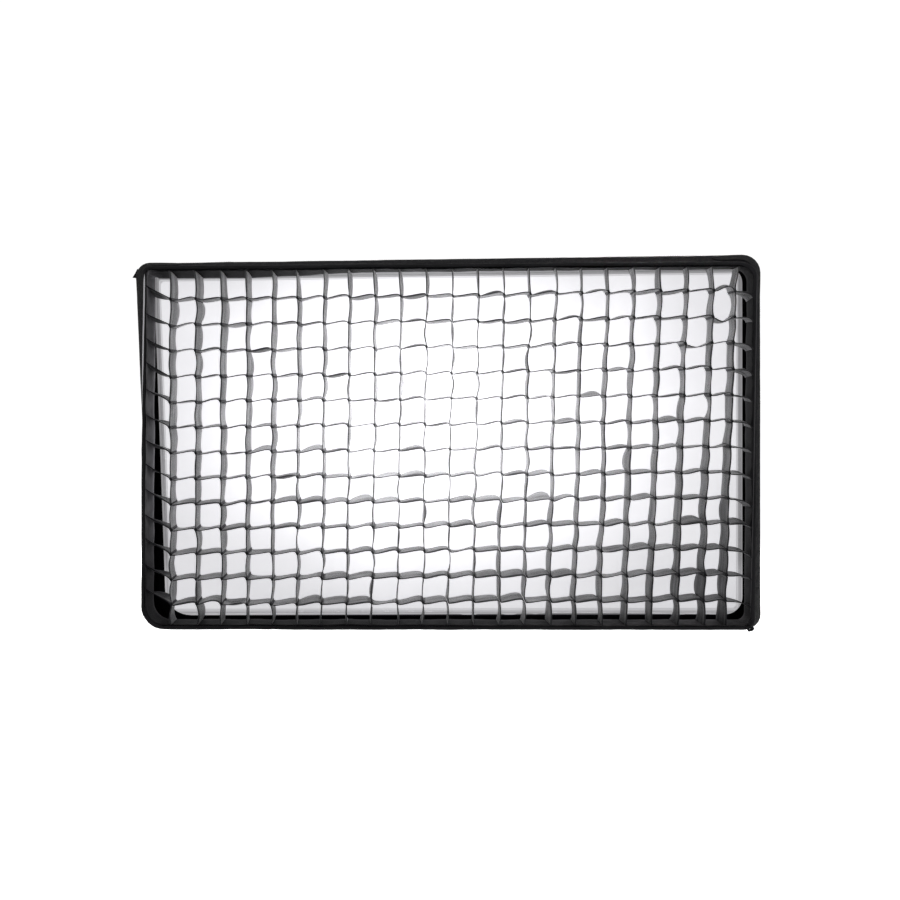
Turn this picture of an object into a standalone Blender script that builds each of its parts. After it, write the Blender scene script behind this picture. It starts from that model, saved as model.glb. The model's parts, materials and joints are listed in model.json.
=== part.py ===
"""Quick-fold rectangular softbox, 120 x 70 cm, with a recessed lip, a fabric grid and a bayonet speed ring.

Run it with: blender --background --python part.py

World frame: metres, +Z up, the grid faces -Y and the lamp sits on the +Y side. The origin is the centre of
the overall box, on the optical axis.

Everything hangs on one empty, softbox_frame, whose local axes are X right, Y up and Z forward (towards the
grid), with local Z = 0 on the speed ring's rear face. Each of the four rods has a corner empty on its hinge
axis, whose local axes are X radially out, Y along the hinge pin and Z forward.
"""

import math

import bmesh
import bpy
from mathutils import Matrix, Vector

# Driving dimensions, metres.
CELL = 0.050                # pitch of the square grid cells
COLUMNS = 24
ROWS = 14
GRID_DEPTH = 0.055
GRID_WALL = 0.0012
GAP = 0.0003                # left between pieces that touch on the real object

RIM_Z = 0.450               # plane of the ridge between shell and lip
RIM_HALF = Vector((0.6345, 0.3820))     # inner face of the fabric at that plane
THROAT_Z = 0.520            # where the lip stops leaning in and runs straight
FRONT_Z = 0.550             # front edge of the lip
FRONT_HALF = Vector((0.6045, 0.3545))   # inner face of the lip there
SHELL_THICK = 0.0012
LIP_THICK = 0.002
BINDING_RADIUS = 0.004
BINDING_CORNER = 0.015      # bend radius of the binding at the four corners

RING_BORE = 0.0512          # the ring's rear opening, round the lamp adapter
RING_SEAT = 0.054           # wider seat that the adapter's flange turns in
RING_RADIUS = 0.076
RING_CHAMFER = 0.0015
SKIRT_INNER = 0.0745        # the skirt stands forward round the four sockets
SKIRT_RADIUS = 0.079
SKIRT_STEP_Z = (0.019, 0.022)           # where the ring widens out to its skirt
SEAT_Z = 0.0057
FLANGE_Z = 0.024
SKIRT_Z = 0.040

LUG_WIDTH = 0.0115          # hinge lugs on the ring, radially
LUG_THICK = 0.004
LUG_TOP_Z = 0.051
LUG_ROOT = 0.002            # how deep the lugs are sunk into the ring's flange
CUT_OVERRUN = 0.02          # how far a cutter runs past what it cuts

ADAPTER_REAR_Z = -0.012
ADAPTER_STEP_Z = -0.001     # where the adapter narrows behind the ring
ADAPTER_NECK = 0.047
ADAPTER_BORE = 0.043
BAYONET_LUG = Vector((0.0045, 0.021, 0.003))
BAYONET_LUG_RADIUS = 0.0480

HINGE_RADIUS = 0.0675       # radial distance of each rod's hinge from the optical axis
HINGE_Z = 0.044
ROD_RADIUS = 0.00275
ROD_BOW = 0.022             # how far the tensioned rod bulges off its chord
ROD_TO_FABRIC = 0.016       # sideways and upwards from the rod's axis to the shell
ROD_SPAN = (0.006, 0.965)   # the rod's ends, as shares of the way from the hinge to the rim corner
PIN_RADIUS = 0.002
PIN_HALF = 0.0122
SOCKET_SIZE = Vector((0.012, 0.014, 0.034))
SOCKET_HEEL = 0.007         # length of the socket behind its hinge
SOCKET_ROUNDING = 0.0015
ROD_BORE_START = 0.0035     # floor of the socket's blind bore, ahead of its hinge
POCKET_OUTER = [(0, 0.005), (0.005, 0.0045), (0.0075, 0.001), (0.008, -0.012), (0.0065, -0.026)]

BUTTON_SHAFT = 0.0028
BUTTON_HEAD = 0.0053
BUTTON_CHAMFER = 0.001
BUTTON_REAR_Z = -0.004
BUTTON_SHOULDER_Z = 0.004
BUTTON_TIP_Z = 0.030
BUTTON_SEAT = 0.0057        # radius of the counterbore that the button's head slides in
BUTTON_SEAT_Z = 0.012
SPRING_RADIUS = 0.0042
SPRING_WIRE = 0.00045
SPRING_Z = (0.0048, 0.0112)
SPRING_TURNS = 3

SCREW_RADIUS = 0.0572
SCREW_ANGLES = [math.pi / 4 + math.pi / 2 * i for i in range(4)]
RETAINER_Z = FLANGE_Z + GAP
RETAINER_THICK = 0.0025
RETAINER_HALF = (0.0495, 0.0608)        # inner and outer radius
SCREW_SHANK = 0.0012
SCREW_HEAD = ((0.0022, 0.0016), (0.0029, 0.0008))   # (radius, height) of the pan head's rounding
SCREW_HEAD_HEIGHT = 0.0018
SCREW_LENGTH = 0.0078       # how far the shank reaches into the ring
SCREW_RECESS = 0.0011
SCREW_HOLE = 0.0015

LOCK_Z = 0.0115
LOCK_RADIUS = 0.004
LOCK_STUD_END = 0.106
LOCK_BOSS_RADIUS = 0.0075
LOCK_BOSS = (0.070, 0.084)  # from the ring's wall down to the boss's end
KNOB = (0.086, 0.104)
KNOB_RADIUS = 0.0125
KNOB_LOBES = 6
KNOB_LOBE_HEIGHT = 0.0015

SHELL_START = 0.065         # where the shell begins along the rods, as a share of their length
BAFFLE_AT = 0.60            # where the inner baffle hangs, as a share of the rods' length
LEDGE_Z = RIM_Z + 0.003
CLOTH_THICK = 0.001
BAFFLE_MARGIN = Vector((0.068, 0.060))  # from the shell's inside to the baffle's edges
STRAP_WIDTH = 0.018
STRAP_THICK = 0.0012
TAPE_DEPTH = 0.025          # hook tape and loop tape that hold the grid
TAPE_Z = THROAT_Z + 0.0035
LOOP_TAPE = (0.0024, 0.0040)            # inner and outer faces, as margins round the grid's face
HOOK_TAPE = (0.0009, 0.0021)
HOOK_BACKING = 0.0018       # hook tape on the diffuser's back
LEDGE_THICK = 0.0012
COLLAR_HEM = 0.0018         # clearance between the ring's skirt and the collar's hem
COLLAR_HEM_Z = (0.026, 0.036)
COLLAR_SEAM = 0.0016        # gap between the collar's front edge and the panels

FACE_HALF = Vector((COLUMNS, ROWS)) * CELL / 2
GRID_FRONT_Z = FRONT_Z + 2 * BINDING_RADIUS + GAP
GRID_HALF = FACE_HALF + Vector((GRID_WALL, GRID_WALL)) / 2
TAB_SIZE = (0.024, 0.014)
TAB_THICK = 0.0012
TAB_Z = FRONT_Z + 2 * BINDING_RADIUS + 3 * GAP
FRONT_MOST_Z = TAB_Z + TAB_THICK
CORNER = RIM_HALF - Vector((ROD_TO_FABRIC, ROD_TO_FABRIC))
CORNER_ANGLE = math.atan2(CORNER.y, CORNER.x)
CORNERS = {
    "top_right": CORNER_ANGLE,
    "top_left": math.pi - CORNER_ANGLE,
    "bottom_left": math.pi + CORNER_ANGLE,
    "bottom_right": -CORNER_ANGLE,
}
SHARP = math.radians(40)    # round faces are shaded smooth up to this angle


# Shape of the rods and of the shell that they stretch.

def rod_point(t):
    """(radius, z) of the rod's axis at t, from 0 on its hinge to 1 at the rim corner."""
    start = Vector((HINGE_RADIUS, HINGE_Z))
    chord = Vector((CORNER.length, RIM_Z)) - start
    outward = Vector((chord.y, -chord.x)).normalized()
    return start + chord * t + outward * (4 * ROD_BOW * t * (1 - t))


def rod_slope(t):
    """Angle between the rod and the optical axis at t, in radians."""
    step = 1e-4
    along = rod_point(t + step) - rod_point(t - step)
    return math.atan2(along.x, along.y)


def shell_section(t):
    """(half width, half height, z) of the shell's inner face, level with the rod's axis at t."""
    radius, z = rod_point(t)
    return (
        radius * math.cos(CORNER_ANGLE) + ROD_TO_FABRIC,
        radius * math.sin(CORNER_ANGLE) + ROD_TO_FABRIC,
        z,
    )


# Modelling helpers.

def clear_scene():
    for obj in list(bpy.data.objects):
        bpy.data.objects.remove(obj)


def finish(name, colour, roughness, metallic=0.0):
    material = bpy.data.materials.new(name)
    material.use_nodes = True
    shader = material.node_tree.nodes["Principled BSDF"]
    shader.inputs["Base Color"].default_value = (*colour, 1.0)
    shader.inputs["Roughness"].default_value = roughness
    shader.inputs["Metallic"].default_value = metallic
    return material


def collection(name):
    made = bpy.data.collections.new(name)
    bpy.context.scene.collection.children.link(made)
    return made


def empty(name, parent, location=(0, 0, 0), rotation=(0, 0, 0)):
    made = bpy.data.objects.new(name, None)
    made.parent = parent
    made.location = location
    made.rotation_euler = rotation
    PARTS.objects.link(made)
    return made


def place(name, data, material, parent, location=(0, 0, 0), rotation=(0, 0, 0), group=None):
    """A new object of this mesh or curve under parent."""
    made = bpy.data.objects.new(name, data)
    if material:
        data.materials.append(material)
    made.parent = parent
    made.location = location
    made.rotation_euler = rotation
    (group or PARTS).objects.link(made)
    return made


def as_mesh(name, bm):
    mesh = bpy.data.meshes.new(name)
    bm.to_mesh(mesh)
    bm.free()
    return mesh


def box(name, size, centre=(0, 0, 0)):
    bm = bmesh.new()
    bmesh.ops.create_cube(bm, size=1)
    bmesh.ops.scale(bm, vec=size, verts=bm.verts)
    bmesh.ops.translate(bm, vec=centre, verts=bm.verts)
    return as_mesh(name, bm)


def cylinder(name, radius, low, high, along="Z", segments=20):
    """A solid cylinder from low to high on local Y or Z."""
    turn = Matrix.Rotation(-math.pi / 2, 4, "X") if along == "Y" else Matrix.Identity(4)
    centre = turn @ Matrix.Translation((0, 0, (low + high) / 2))
    bm = bmesh.new()
    bmesh.ops.create_cone(
        bm, cap_ends=True, segments=segments, radius1=radius, radius2=radius,
        depth=high - low, matrix=centre,
    )
    mesh = as_mesh(name, bm)
    mesh.shade_smooth()
    mesh.set_sharp_from_angle(angle=SHARP)
    return mesh


def turned(name, outline, material, parent, steps=32, closed=True, **where):
    """A shape turned about local Z. The outline of (radius, z) runs down its outer side."""
    mesh = bpy.data.meshes.new(name)
    count = len(outline)
    edges = [(i, i + 1) for i in range(count - 1)]
    if closed:
        edges.append((count - 1, 0))
    mesh.from_pydata([(radius, 0, z) for radius, z in outline], edges, [])
    made = place(name, mesh, material, parent, **where)
    screw = made.modifiers.new("turn", "SCREW")
    screw.axis = "Z"
    screw.steps = steps
    screw.render_steps = steps
    screw.use_merge_vertices = True
    screw.merge_threshold = 0.00001
    screw.use_smooth_shade = False
    return made


def wire(name, points, radius, material, parent, closed=False, resolution=1, **where):
    """A round wire through these points, with its ends capped."""
    curve = bpy.data.curves.new(name, "CURVE")
    curve.dimensions = "3D"
    curve.bevel_depth = radius
    curve.bevel_resolution = resolution
    curve.use_fill_caps = not closed
    spline = curve.splines.new("POLY")
    spline.points.add(len(points) - 1)
    for point, place_at in zip(spline.points, points):
        point.co = (*place_at, 1)
    spline.use_cyclic_u = closed
    return place(name, curve, material, parent, **where)


def plate(name, loops, thickness, material, parent, **where):
    """A flat plate in local X and Y, bounded by the first loop, with a hole for each other loop."""
    curve = bpy.data.curves.new(name, "CURVE")
    curve.dimensions = "2D"
    curve.fill_mode = "BOTH"
    curve.extrude = thickness / 2
    for loop in loops:
        spline = curve.splines.new("POLY")
        spline.points.add(len(loop) - 1)
        for point, place_at in zip(spline.points, loop):
            point.co = (*place_at, 0, 1)
        spline.use_cyclic_u = True
    return place(name, curve, material, parent, **where)


def circle(radius, count):
    return [(radius * math.cos(2 * math.pi * i / count), radius * math.sin(2 * math.pi * i / count))
            for i in range(count)]


def rectangle(half):
    return [(-half.x, -half.y), (half.x, -half.y), (half.x, half.y), (-half.x, half.y)]


def sheet(name, rows, thickness, material, parent, closed=False, **where):
    """A fabric sheet lofted through rows of points, thickened along its normals."""
    bm = bmesh.new()
    lines = [[bm.verts.new(point) for point in row] for row in rows]
    for low, high in zip(lines, lines[1:]):
        for i in range(len(low) if closed else len(low) - 1):
            j = (i + 1) % len(low)
            bm.faces.new((low[i], low[j], high[j], high[i]))
    made = place(name, as_mesh(name, bm), material, parent, **where)
    solidify = made.modifiers.new("thickness", "SOLIDIFY")
    solidify.thickness = thickness
    solidify.offset = 1
    return made


def round_edges(obj, width, segments):
    bevel = obj.modifiers.new("round", "BEVEL")
    bevel.width = width
    bevel.segments = segments


def boolean(obj, operation, tool):
    """Cuts or joins with one tool, or with every object of a collection."""
    modifier = obj.modifiers.new(operation.lower(), "BOOLEAN")
    modifier.operation = operation
    if isinstance(tool, bpy.types.Collection):
        modifier.operand_type = "COLLECTION"
        modifier.collection = tool
    else:
        modifier.object = tool


def as_tool(obj):
    obj.hide_render = True
    obj.display_type = "WIRE"
    return obj


def tool_box(name, size, centre, parent, group, **where):
    return as_tool(place(name, box(name, size, centre), None, parent, group=group, **where))


def tool_cylinder(name, radius, low, high, parent, group, along="Z", segments=20, **where):
    mesh = cylinder(name, radius, low, high, along, segments)
    return as_tool(place(name, mesh, None, parent, group=group, **where))


# Speed ring and what is fastened to it.

def speed_ring(frame, corner_empties):
    """Cast ring with hinge lugs, button bores, screw holes and the boss of the rotation lock."""
    additions = collection("ring_additions")
    cuts = collection("ring_cuts")
    ring = turned(
        "speed_ring",
        [
            (SKIRT_RADIUS, SKIRT_Z),
            (SKIRT_RADIUS, SKIRT_STEP_Z[1]),
            (RING_RADIUS, SKIRT_STEP_Z[0]),
            (RING_RADIUS, RING_CHAMFER),
            (RING_RADIUS - RING_CHAMFER, 0),
            (RING_BORE, 0),
            (RING_BORE, SEAT_Z),
            (RING_SEAT, SEAT_Z),
            (RING_SEAT, FLANGE_Z),
            (SKIRT_INNER, FLANGE_Z),
            (SKIRT_INNER, SKIRT_Z),
        ],
        CAST, frame, steps=40,
    )
    lug_inner = SOCKET_SIZE.y / 2 + 2 * GAP
    lug_low, lug_high = FLANGE_Z - LUG_ROOT - HINGE_Z, LUG_TOP_Z - HINGE_Z
    rear = -HINGE_Z - CUT_OVERRUN
    for name, corner in corner_empties.items():
        for side in (-1, 1):
            centre = (0, side * (lug_inner + LUG_THICK / 2), (lug_low + lug_high) / 2)
            size = (LUG_WIDTH, LUG_THICK, lug_high - lug_low)
            tool_box(f"lug_{name}_{side}", size, centre, corner, additions)
        tool_cylinder(f"pin_bore_{name}", PIN_RADIUS + GAP, -CUT_OVERRUN, CUT_OVERRUN, corner, cuts, "Y", 16)
        tool_cylinder(f"button_bore_{name}", BUTTON_SHAFT + 2 * GAP, rear, 0, corner, cuts, segments=16)
        tool_cylinder(f"button_seat_{name}", BUTTON_SEAT, rear, BUTTON_SEAT_Z - HINGE_Z, corner, cuts)
    lock = {"rotation": (math.pi / 2, 0, 0), "location": (0, 0, LOCK_Z)}
    tool_cylinder("lock_boss", LOCK_BOSS_RADIUS, *LOCK_BOSS, frame, additions, segments=24, **lock)
    lock_bore = (RING_BORE - CUT_OVERRUN / 4, LOCK_BOSS[1] + CUT_OVERRUN / 2)
    tool_cylinder("lock_bore", LOCK_RADIUS + GAP, *lock_bore, frame, cuts, **lock)
    hole = (FLANGE_Z - SCREW_LENGTH - 4 * GAP, FLANGE_Z + CUT_OVERRUN)
    for number, at in enumerate(screw_places(), 1):
        tool_cylinder(f"screw_hole_{number}", SCREW_HOLE, *hole, frame, cuts, segments=12, location=at)
    boolean(ring, "UNION", additions)
    boolean(ring, "DIFFERENCE", cuts)


def screw_places():
    return [(SCREW_RADIUS * math.cos(angle), SCREW_RADIUS * math.sin(angle), 0) for angle in SCREW_ANGLES]


def retaining_ring(frame):
    """Flat ring that keeps the lamp adapter in its seat, with its four pan-head screws."""
    top = RETAINER_Z + RETAINER_THICK
    inner, outer = RETAINER_HALF
    ring = turned(
        "retaining_ring",
        [(outer, top), (outer, RETAINER_Z), (inner, RETAINER_Z), (inner, top)],
        MACHINED, frame, steps=40,
    )
    holes = collection("retainer_cuts")
    hole = (RETAINER_Z - CUT_OVERRUN / 4, top + CUT_OVERRUN / 4)
    head = top + GAP
    end = FLANGE_Z - SCREW_LENGTH
    (crown, crown_rise), (rim, rim_rise) = SCREW_HEAD
    outline = [
        (0, head + SCREW_HEAD_HEIGHT), (crown, head + crown_rise), (rim, head + rim_rise), (rim, head),
        (SCREW_SHANK, head), (SCREW_SHANK, end + rim_rise), (0, end),
    ]
    for number, at in enumerate(screw_places(), 1):
        tool_cylinder(f"retainer_hole_{number}", SCREW_HOLE, *hole, frame, holes, segments=12, location=at)
        screw = turned(f"retaining_screw_{number}", outline, STEEL, frame, steps=12, closed=False, location=at)
        recess = tool_cylinder(
            f"screw_recess_{number}", SCREW_RECESS, head + rim_rise, head + 2 * SCREW_HEAD_HEIGHT, frame, TOOLS,
            segments=6, location=at,
        )
        boolean(screw, "DIFFERENCE", recess)
    boolean(ring, "DIFFERENCE", holes)


def lamp_adapter(frame):
    """Insert that turns in the speed ring, with three bayonet lugs for the lamp."""
    rim = RING_SEAT - GAP
    body = RING_BORE - GAP
    adapter = turned(
        "lamp_adapter",
        [
            (rim, FLANGE_Z),
            (rim, SEAT_Z + GAP),
            (body, SEAT_Z + GAP),
            (body, ADAPTER_STEP_Z),
            (ADAPTER_NECK, ADAPTER_STEP_Z),
            (ADAPTER_NECK, ADAPTER_REAR_Z),
            (ADAPTER_BORE, ADAPTER_REAR_Z),
            (ADAPTER_BORE, FLANGE_Z),
        ],
        MACHINED, frame, steps=40,
    )
    lugs = collection("bayonet_lugs")
    centre = (BAYONET_LUG_RADIUS, 0, ADAPTER_REAR_Z + BAYONET_LUG.z / 2)
    for number in range(3):
        turn = (0, 0, math.radians(90 + 120 * number))
        tool_box(f"bayonet_lug_{number + 1}", BAYONET_LUG, centre, frame, lugs, rotation=turn)
    boolean(adapter, "UNION", lugs)


def rotation_lock(frame):
    """Threaded stud below the ring that clamps the adapter, and its lobed knob."""
    down = {"rotation": (math.pi / 2, 0, 0), "location": (0, 0, LOCK_Z)}
    stud = cylinder("lock_stud", LOCK_RADIUS, RING_SEAT + GAP, LOCK_STUD_END)
    place("lock_stud", stud, STEEL, frame, **down)
    outline = [
        Vector(point) * (1 + KNOB_LOBE_HEIGHT / KNOB_RADIUS * math.cos(2 * math.pi * KNOB_LOBES * i / 48))
        for i, point in enumerate(circle(KNOB_RADIUS, 48))
    ]
    holder = empty("lock_axis", frame, **down)
    plate(
        "lock_knob", [outline, circle(LOCK_RADIUS + GAP, 20)], KNOB[1] - KNOB[0], PLASTIC, holder,
        location=(0, 0, sum(KNOB) / 2),
    )


# One quick-fold rod with its socket, pin, button and pocket.

def rod_assembly(corner, name):
    pin = cylinder(f"hinge_pin_{name}", PIN_RADIUS, -PIN_HALF, PIN_HALF, "Y", 16)
    place(f"hinge_pin_{name}", pin, STEEL, corner)
    rod_socket(corner, name)
    first, last = ROD_SPAN
    steps = 12
    points = []
    for i in range(steps + 1):
        radius, z = rod_point(first + (last - first) * i / steps)
        points.append((radius - HINGE_RADIUS, 0, z - HINGE_Z))
    wire(f"rod_{name}", points, ROD_RADIUS, FIBREGLASS, corner)
    rod_pocket(corner, name, last)
    release_button(corner, name)


def rod_socket(corner, name):
    """Hinged block with a blind bore for the rod."""
    slope = (0, rod_slope(0.02), 0)
    centre_z = SOCKET_SIZE.z / 2 - SOCKET_HEEL
    mesh = box(f"rod_socket_{name}", SOCKET_SIZE, (0, 0, centre_z))
    socket = place(f"rod_socket_{name}", mesh, PLASTIC, corner, rotation=slope)
    round_edges(socket, SOCKET_ROUNDING, 2)
    bore = (ROD_BORE_START, SOCKET_SIZE.z - SOCKET_HEEL + CUT_OVERRUN / 4)
    boolean(socket, "DIFFERENCE", tool_cylinder(
        f"rod_bore_{name}", ROD_RADIUS + 2 * GAP, *bore, corner, TOOLS, segments=16, rotation=slope,
    ))
    boolean(socket, "DIFFERENCE", tool_cylinder(
        f"socket_pin_bore_{name}", PIN_RADIUS + GAP, -CUT_OVERRUN, CUT_OVERRUN, corner, TOOLS, "Y", 16,
    ))


def rod_pocket(corner, name, rod_end):
    """Reinforced cup that takes the rod's end at the rim corner."""
    radius, z = rod_point(rod_end)
    inner = ROD_RADIUS + 2 * GAP
    outline = POCKET_OUTER + [(inner, POCKET_OUTER[-1][1]), (inner, GAP), (0, GAP)]
    turned(
        f"corner_pocket_{name}", outline, LEATHERETTE, corner, steps=16, closed=False,
        location=(radius - HINGE_RADIUS, 0, z - HINGE_Z), rotation=(0, rod_slope(rod_end), 0),
    )


def release_button(corner, name):
    """Sprung plunger, pressed from behind the ring, that kicks the socket off its stop."""
    outline = [
        (0, BUTTON_TIP_Z), (BUTTON_SHAFT, BUTTON_TIP_Z), (BUTTON_SHAFT, BUTTON_SHOULDER_Z),
        (BUTTON_HEAD, BUTTON_SHOULDER_Z), (BUTTON_HEAD, BUTTON_REAR_Z + BUTTON_CHAMFER),
        (BUTTON_HEAD - BUTTON_CHAMFER, BUTTON_REAR_Z), (0, BUTTON_REAR_Z),
    ]
    outline = [(radius, z - HINGE_Z) for radius, z in outline]
    turned(f"release_button_{name}", outline, PLASTIC, corner, steps=20, closed=False)
    per_turn = 8
    count = SPRING_TURNS * per_turn
    low, high = SPRING_Z
    coil = []
    for i in range(count + 1):
        angle = 2 * math.pi * i / per_turn
        rise = low + (high - low) * i / count - HINGE_Z
        coil.append((SPRING_RADIUS * math.cos(angle), SPRING_RADIUS * math.sin(angle), rise))
    wire(f"button_spring_{name}", coil, SPRING_WIRE, STEEL, corner, resolution=0)


# Fabric.

def shell_panels(frame):
    """Four trapezoidal panels, each lofted between two rods."""
    steps = 7
    rows = [shell_section(SHELL_START + (1 - SHELL_START) * i / steps) for i in range(steps + 1)]
    gap = 2 * GAP
    top = [[(w - gap, h, z), (gap - w, h, z)] for w, h, z in rows]
    right = [[(w, gap - h, z), (w, h - gap, z)] for w, h, z in rows]
    for side, panel in {"top": top, "right": right}.items():
        other = {"top": "bottom", "right": "left"}[side]
        sheet(f"shell_{side}", shortened(panel), SHELL_THICK, NYLON, frame)
        sheet(f"shell_{other}", shortened(panel), SHELL_THICK, NYLON, frame, rotation=(0, 0, math.pi))


def shortened(rows):
    """The rows with the last one moved back a little, clear of the lip."""
    moved = [(x, y, z - 2 * GAP) for x, y, z in rows[-1]]
    return rows[:-1] + [moved]


def lip_panels(frame):
    """Recess in front of the diffuser: it leans in from the rim, then runs straight to the front edge."""
    sections = [(RIM_HALF, RIM_Z + GAP), (FRONT_HALF, THROAT_Z), (FRONT_HALF, FRONT_Z)]
    gap = 2 * GAP
    top = [[(half.x - gap, half.y, z), (gap - half.x, half.y, z)] for half, z in sections]
    right = [[(half.x, gap - half.y, z), (half.x, half.y - gap, z)] for half, z in sections]
    for side, panel in {"top": top, "right": right}.items():
        other = {"top": "bottom", "right": "left"}[side]
        sheet(f"lip_{side}", panel, LIP_THICK, NYLON, frame)
        sheet(f"lip_{other}", panel, LIP_THICK, NYLON, frame, rotation=(0, 0, math.pi))


def lip_fittings(frame):
    """Loop tape for the grid, ledge for the diffuser and the bound front edge."""
    tape_band("lip_loop_tape", LOOP_TAPE, frame)
    ledge_outer = RIM_HALF - Vector((0.0025, 0.0025))
    ledge_inner = FACE_HALF - Vector((0.025, 0.025))
    plate(
        "diffuser_ledge", [rectangle(ledge_outer), rectangle(ledge_inner)], LEDGE_THICK, NYLON, frame,
        location=(0, 0, LEDGE_Z),
    )
    arc_steps = 4
    middle = FRONT_HALF + Vector((BINDING_RADIUS, BINDING_RADIUS))
    points = []
    for number, (sx, sy) in enumerate(((1, 1), (-1, 1), (-1, -1), (1, -1))):
        for i in range(arc_steps + 1):
            angle = math.pi / 2 * (number + i / arc_steps)
            points.append((
                sx * (middle.x - BINDING_CORNER) + BINDING_CORNER * math.cos(angle),
                sy * (middle.y - BINDING_CORNER) + BINDING_CORNER * math.sin(angle),
                0,
            ))
    wire(
        "front_binding", points, BINDING_RADIUS, BINDING, frame, closed=True, resolution=1,
        location=(0, 0, FRONT_Z + BINDING_RADIUS + GAP),
    )


def tape_band(name, margins, frame):
    """A band of tape round the grid's face, between these two margins from it."""
    inner, outer = (FACE_HALF + Vector((margin, margin)) for margin in margins)
    plate(
        name, [rectangle(outer), rectangle(inner)], TAPE_DEPTH, TAPE, frame,
        location=(0, 0, TAPE_Z + TAPE_DEPTH / 2),
    )


def rear_collar(frame):
    """Elasticated collar from the ring's skirt out to the rear edge of the four panels."""
    half_w, half_h, z = shell_section(SHELL_START)
    hem = SKIRT_RADIUS + COLLAR_HEM
    corner = math.atan2(half_h, half_w)
    angles = {2 * math.pi * i / 24 for i in range(24)}
    angles |= {corner, math.pi - corner, math.pi + corner, 2 * math.pi - corner}
    rows = [[], [], []]
    for angle in sorted(angles):
        c, s = math.cos(angle), math.sin(angle)
        reach = min(half_w / max(abs(c), 1e-9), half_h / max(abs(s), 1e-9))
        rows[0].append((hem * c, hem * s, COLLAR_HEM_Z[0]))
        rows[1].append((hem * c, hem * s, COLLAR_HEM_Z[1]))
        rows[2].append((reach * c, reach * s, z - COLLAR_SEAM))
    sheet("rear_collar", rows, SHELL_THICK, NYLON, frame, closed=True)


def inner_baffle(frame):
    """Second diffuser inside the box, hung by four elastic corner straps."""
    half_w, half_h, z = shell_section(BAFFLE_AT)
    half = Vector((half_w, half_h)) - BAFFLE_MARGIN
    plate("inner_baffle", [rectangle(half)], CLOTH_THICK, BAFFLE_WHITE, frame, location=(0, 0, z))
    rod_radius = rod_point(BAFFLE_AT).x
    for name, angle in CORNERS.items():
        inner_end = half.length + 0.001
        outer_end = rod_radius - ROD_RADIUS - 0.004
        strap = box(
            f"baffle_strap_{name}", (outer_end - inner_end, STRAP_WIDTH, STRAP_THICK),
            ((inner_end + outer_end) / 2, 0, 0),
        )
        place(f"baffle_strap_{name}", strap, ELASTIC, frame, location=(0, 0, z), rotation=(0, 0, angle))


def front_diffuser(frame):
    """White front cloth with a band of hook tape on its back that grips the ledge."""
    tape_z = LEDGE_Z + LEDGE_THICK / 2 + GAP + HOOK_BACKING / 2
    tape_outer = FACE_HALF - Vector((0.002, 0.002))
    tape_inner = FACE_HALF - Vector((0.022, 0.022))
    plate(
        "diffuser_hook_tape", [rectangle(tape_outer), rectangle(tape_inner)], HOOK_BACKING, TAPE, frame,
        location=(0, 0, tape_z),
    )
    cloth_z = tape_z + HOOK_BACKING / 2 + GAP + CLOTH_THICK / 2
    plate(
        "front_diffuser", [rectangle(FACE_HALF)], CLOTH_THICK, DIFFUSER_WHITE, frame, location=(0, 0, cloth_z),
    )


def fabric_grid(frame):
    """Eggcrate grid: a slab with one square cell cut per opening, its hook tape and a pull tab."""
    middle_z = GRID_FRONT_Z - GRID_DEPTH / 2
    slab = box("grid_dividers", (2 * GRID_HALF.x, 2 * GRID_HALF.y, GRID_DEPTH))
    grid = place("grid_dividers", slab, GRID_CLOTH, frame, location=(0, 0, middle_z))
    opening = CELL - GRID_WALL
    first = (-FACE_HALF.x + CELL / 2, -FACE_HALF.y + CELL / 2, 0)
    cell = tool_box(
        "grid_cells", (opening, opening, 2 * GRID_DEPTH), first, frame, TOOLS, location=(0, 0, middle_z),
    )
    for name, count, step in (("columns", COLUMNS, (CELL, 0, 0)), ("rows", ROWS, (0, CELL, 0))):
        array = cell.modifiers.new(name, "ARRAY")
        array.count = count
        array.use_relative_offset = False
        array.use_constant_offset = True
        array.constant_offset_displace = step
    boolean(grid, "DIFFERENCE", cell)
    tape_band("grid_hook_tape", HOOK_TAPE, frame)
    place(
        "grid_pull_tab", box("grid_pull_tab", (*TAB_SIZE, TAB_THICK)), TAPE, frame, rotation=(0, 0, -math.pi / 4),
        location=(FACE_HALF.x, -FACE_HALF.y - 0.006, TAB_Z + TAB_THICK / 2),
    )


clear_scene()
PARTS = collection("softbox")
TOOLS = collection("cutters")

NYLON = finish("black_nylon", (0.012, 0.012, 0.013), 0.6)
GRID_CLOTH = finish("grid_cloth", (0.03, 0.03, 0.032), 0.6)
BINDING = finish("binding_tape", (0.016, 0.016, 0.017), 0.7)
TAPE = finish("hook_and_loop", (0.014, 0.014, 0.015), 0.95)
DIFFUSER_WHITE = finish("diffuser_cloth", (0.9, 0.9, 0.9), 0.8)
BAFFLE_WHITE = finish("baffle_cloth", (0.85, 0.85, 0.85), 0.8)
ELASTIC = finish("elastic_strap", (0.02, 0.02, 0.02), 0.8)
LEATHERETTE = finish("leatherette", (0.015, 0.015, 0.015), 0.5)
CAST = finish("black_cast_alloy", (0.02, 0.02, 0.022), 0.45, 0.3)
MACHINED = finish("machined_alloy", (0.62, 0.62, 0.64), 0.35, 1.0)
STEEL = finish("steel", (0.55, 0.55, 0.56), 0.3, 1.0)
PLASTIC = finish("black_plastic", (0.02, 0.02, 0.02), 0.45)
FIBREGLASS = finish("fibreglass_rod", (0.05, 0.05, 0.055), 0.35)

softbox = empty(
    "softbox_frame", None, (0, (FRONT_MOST_Z + ADAPTER_REAR_Z) / 2, 0), (math.pi / 2, 0, 0),
)
hinges = {
    name: empty(
        f"hinge_{name}", softbox,
        (HINGE_RADIUS * math.cos(angle), HINGE_RADIUS * math.sin(angle), HINGE_Z), (0, 0, angle),
    )
    for name, angle in CORNERS.items()
}

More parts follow.
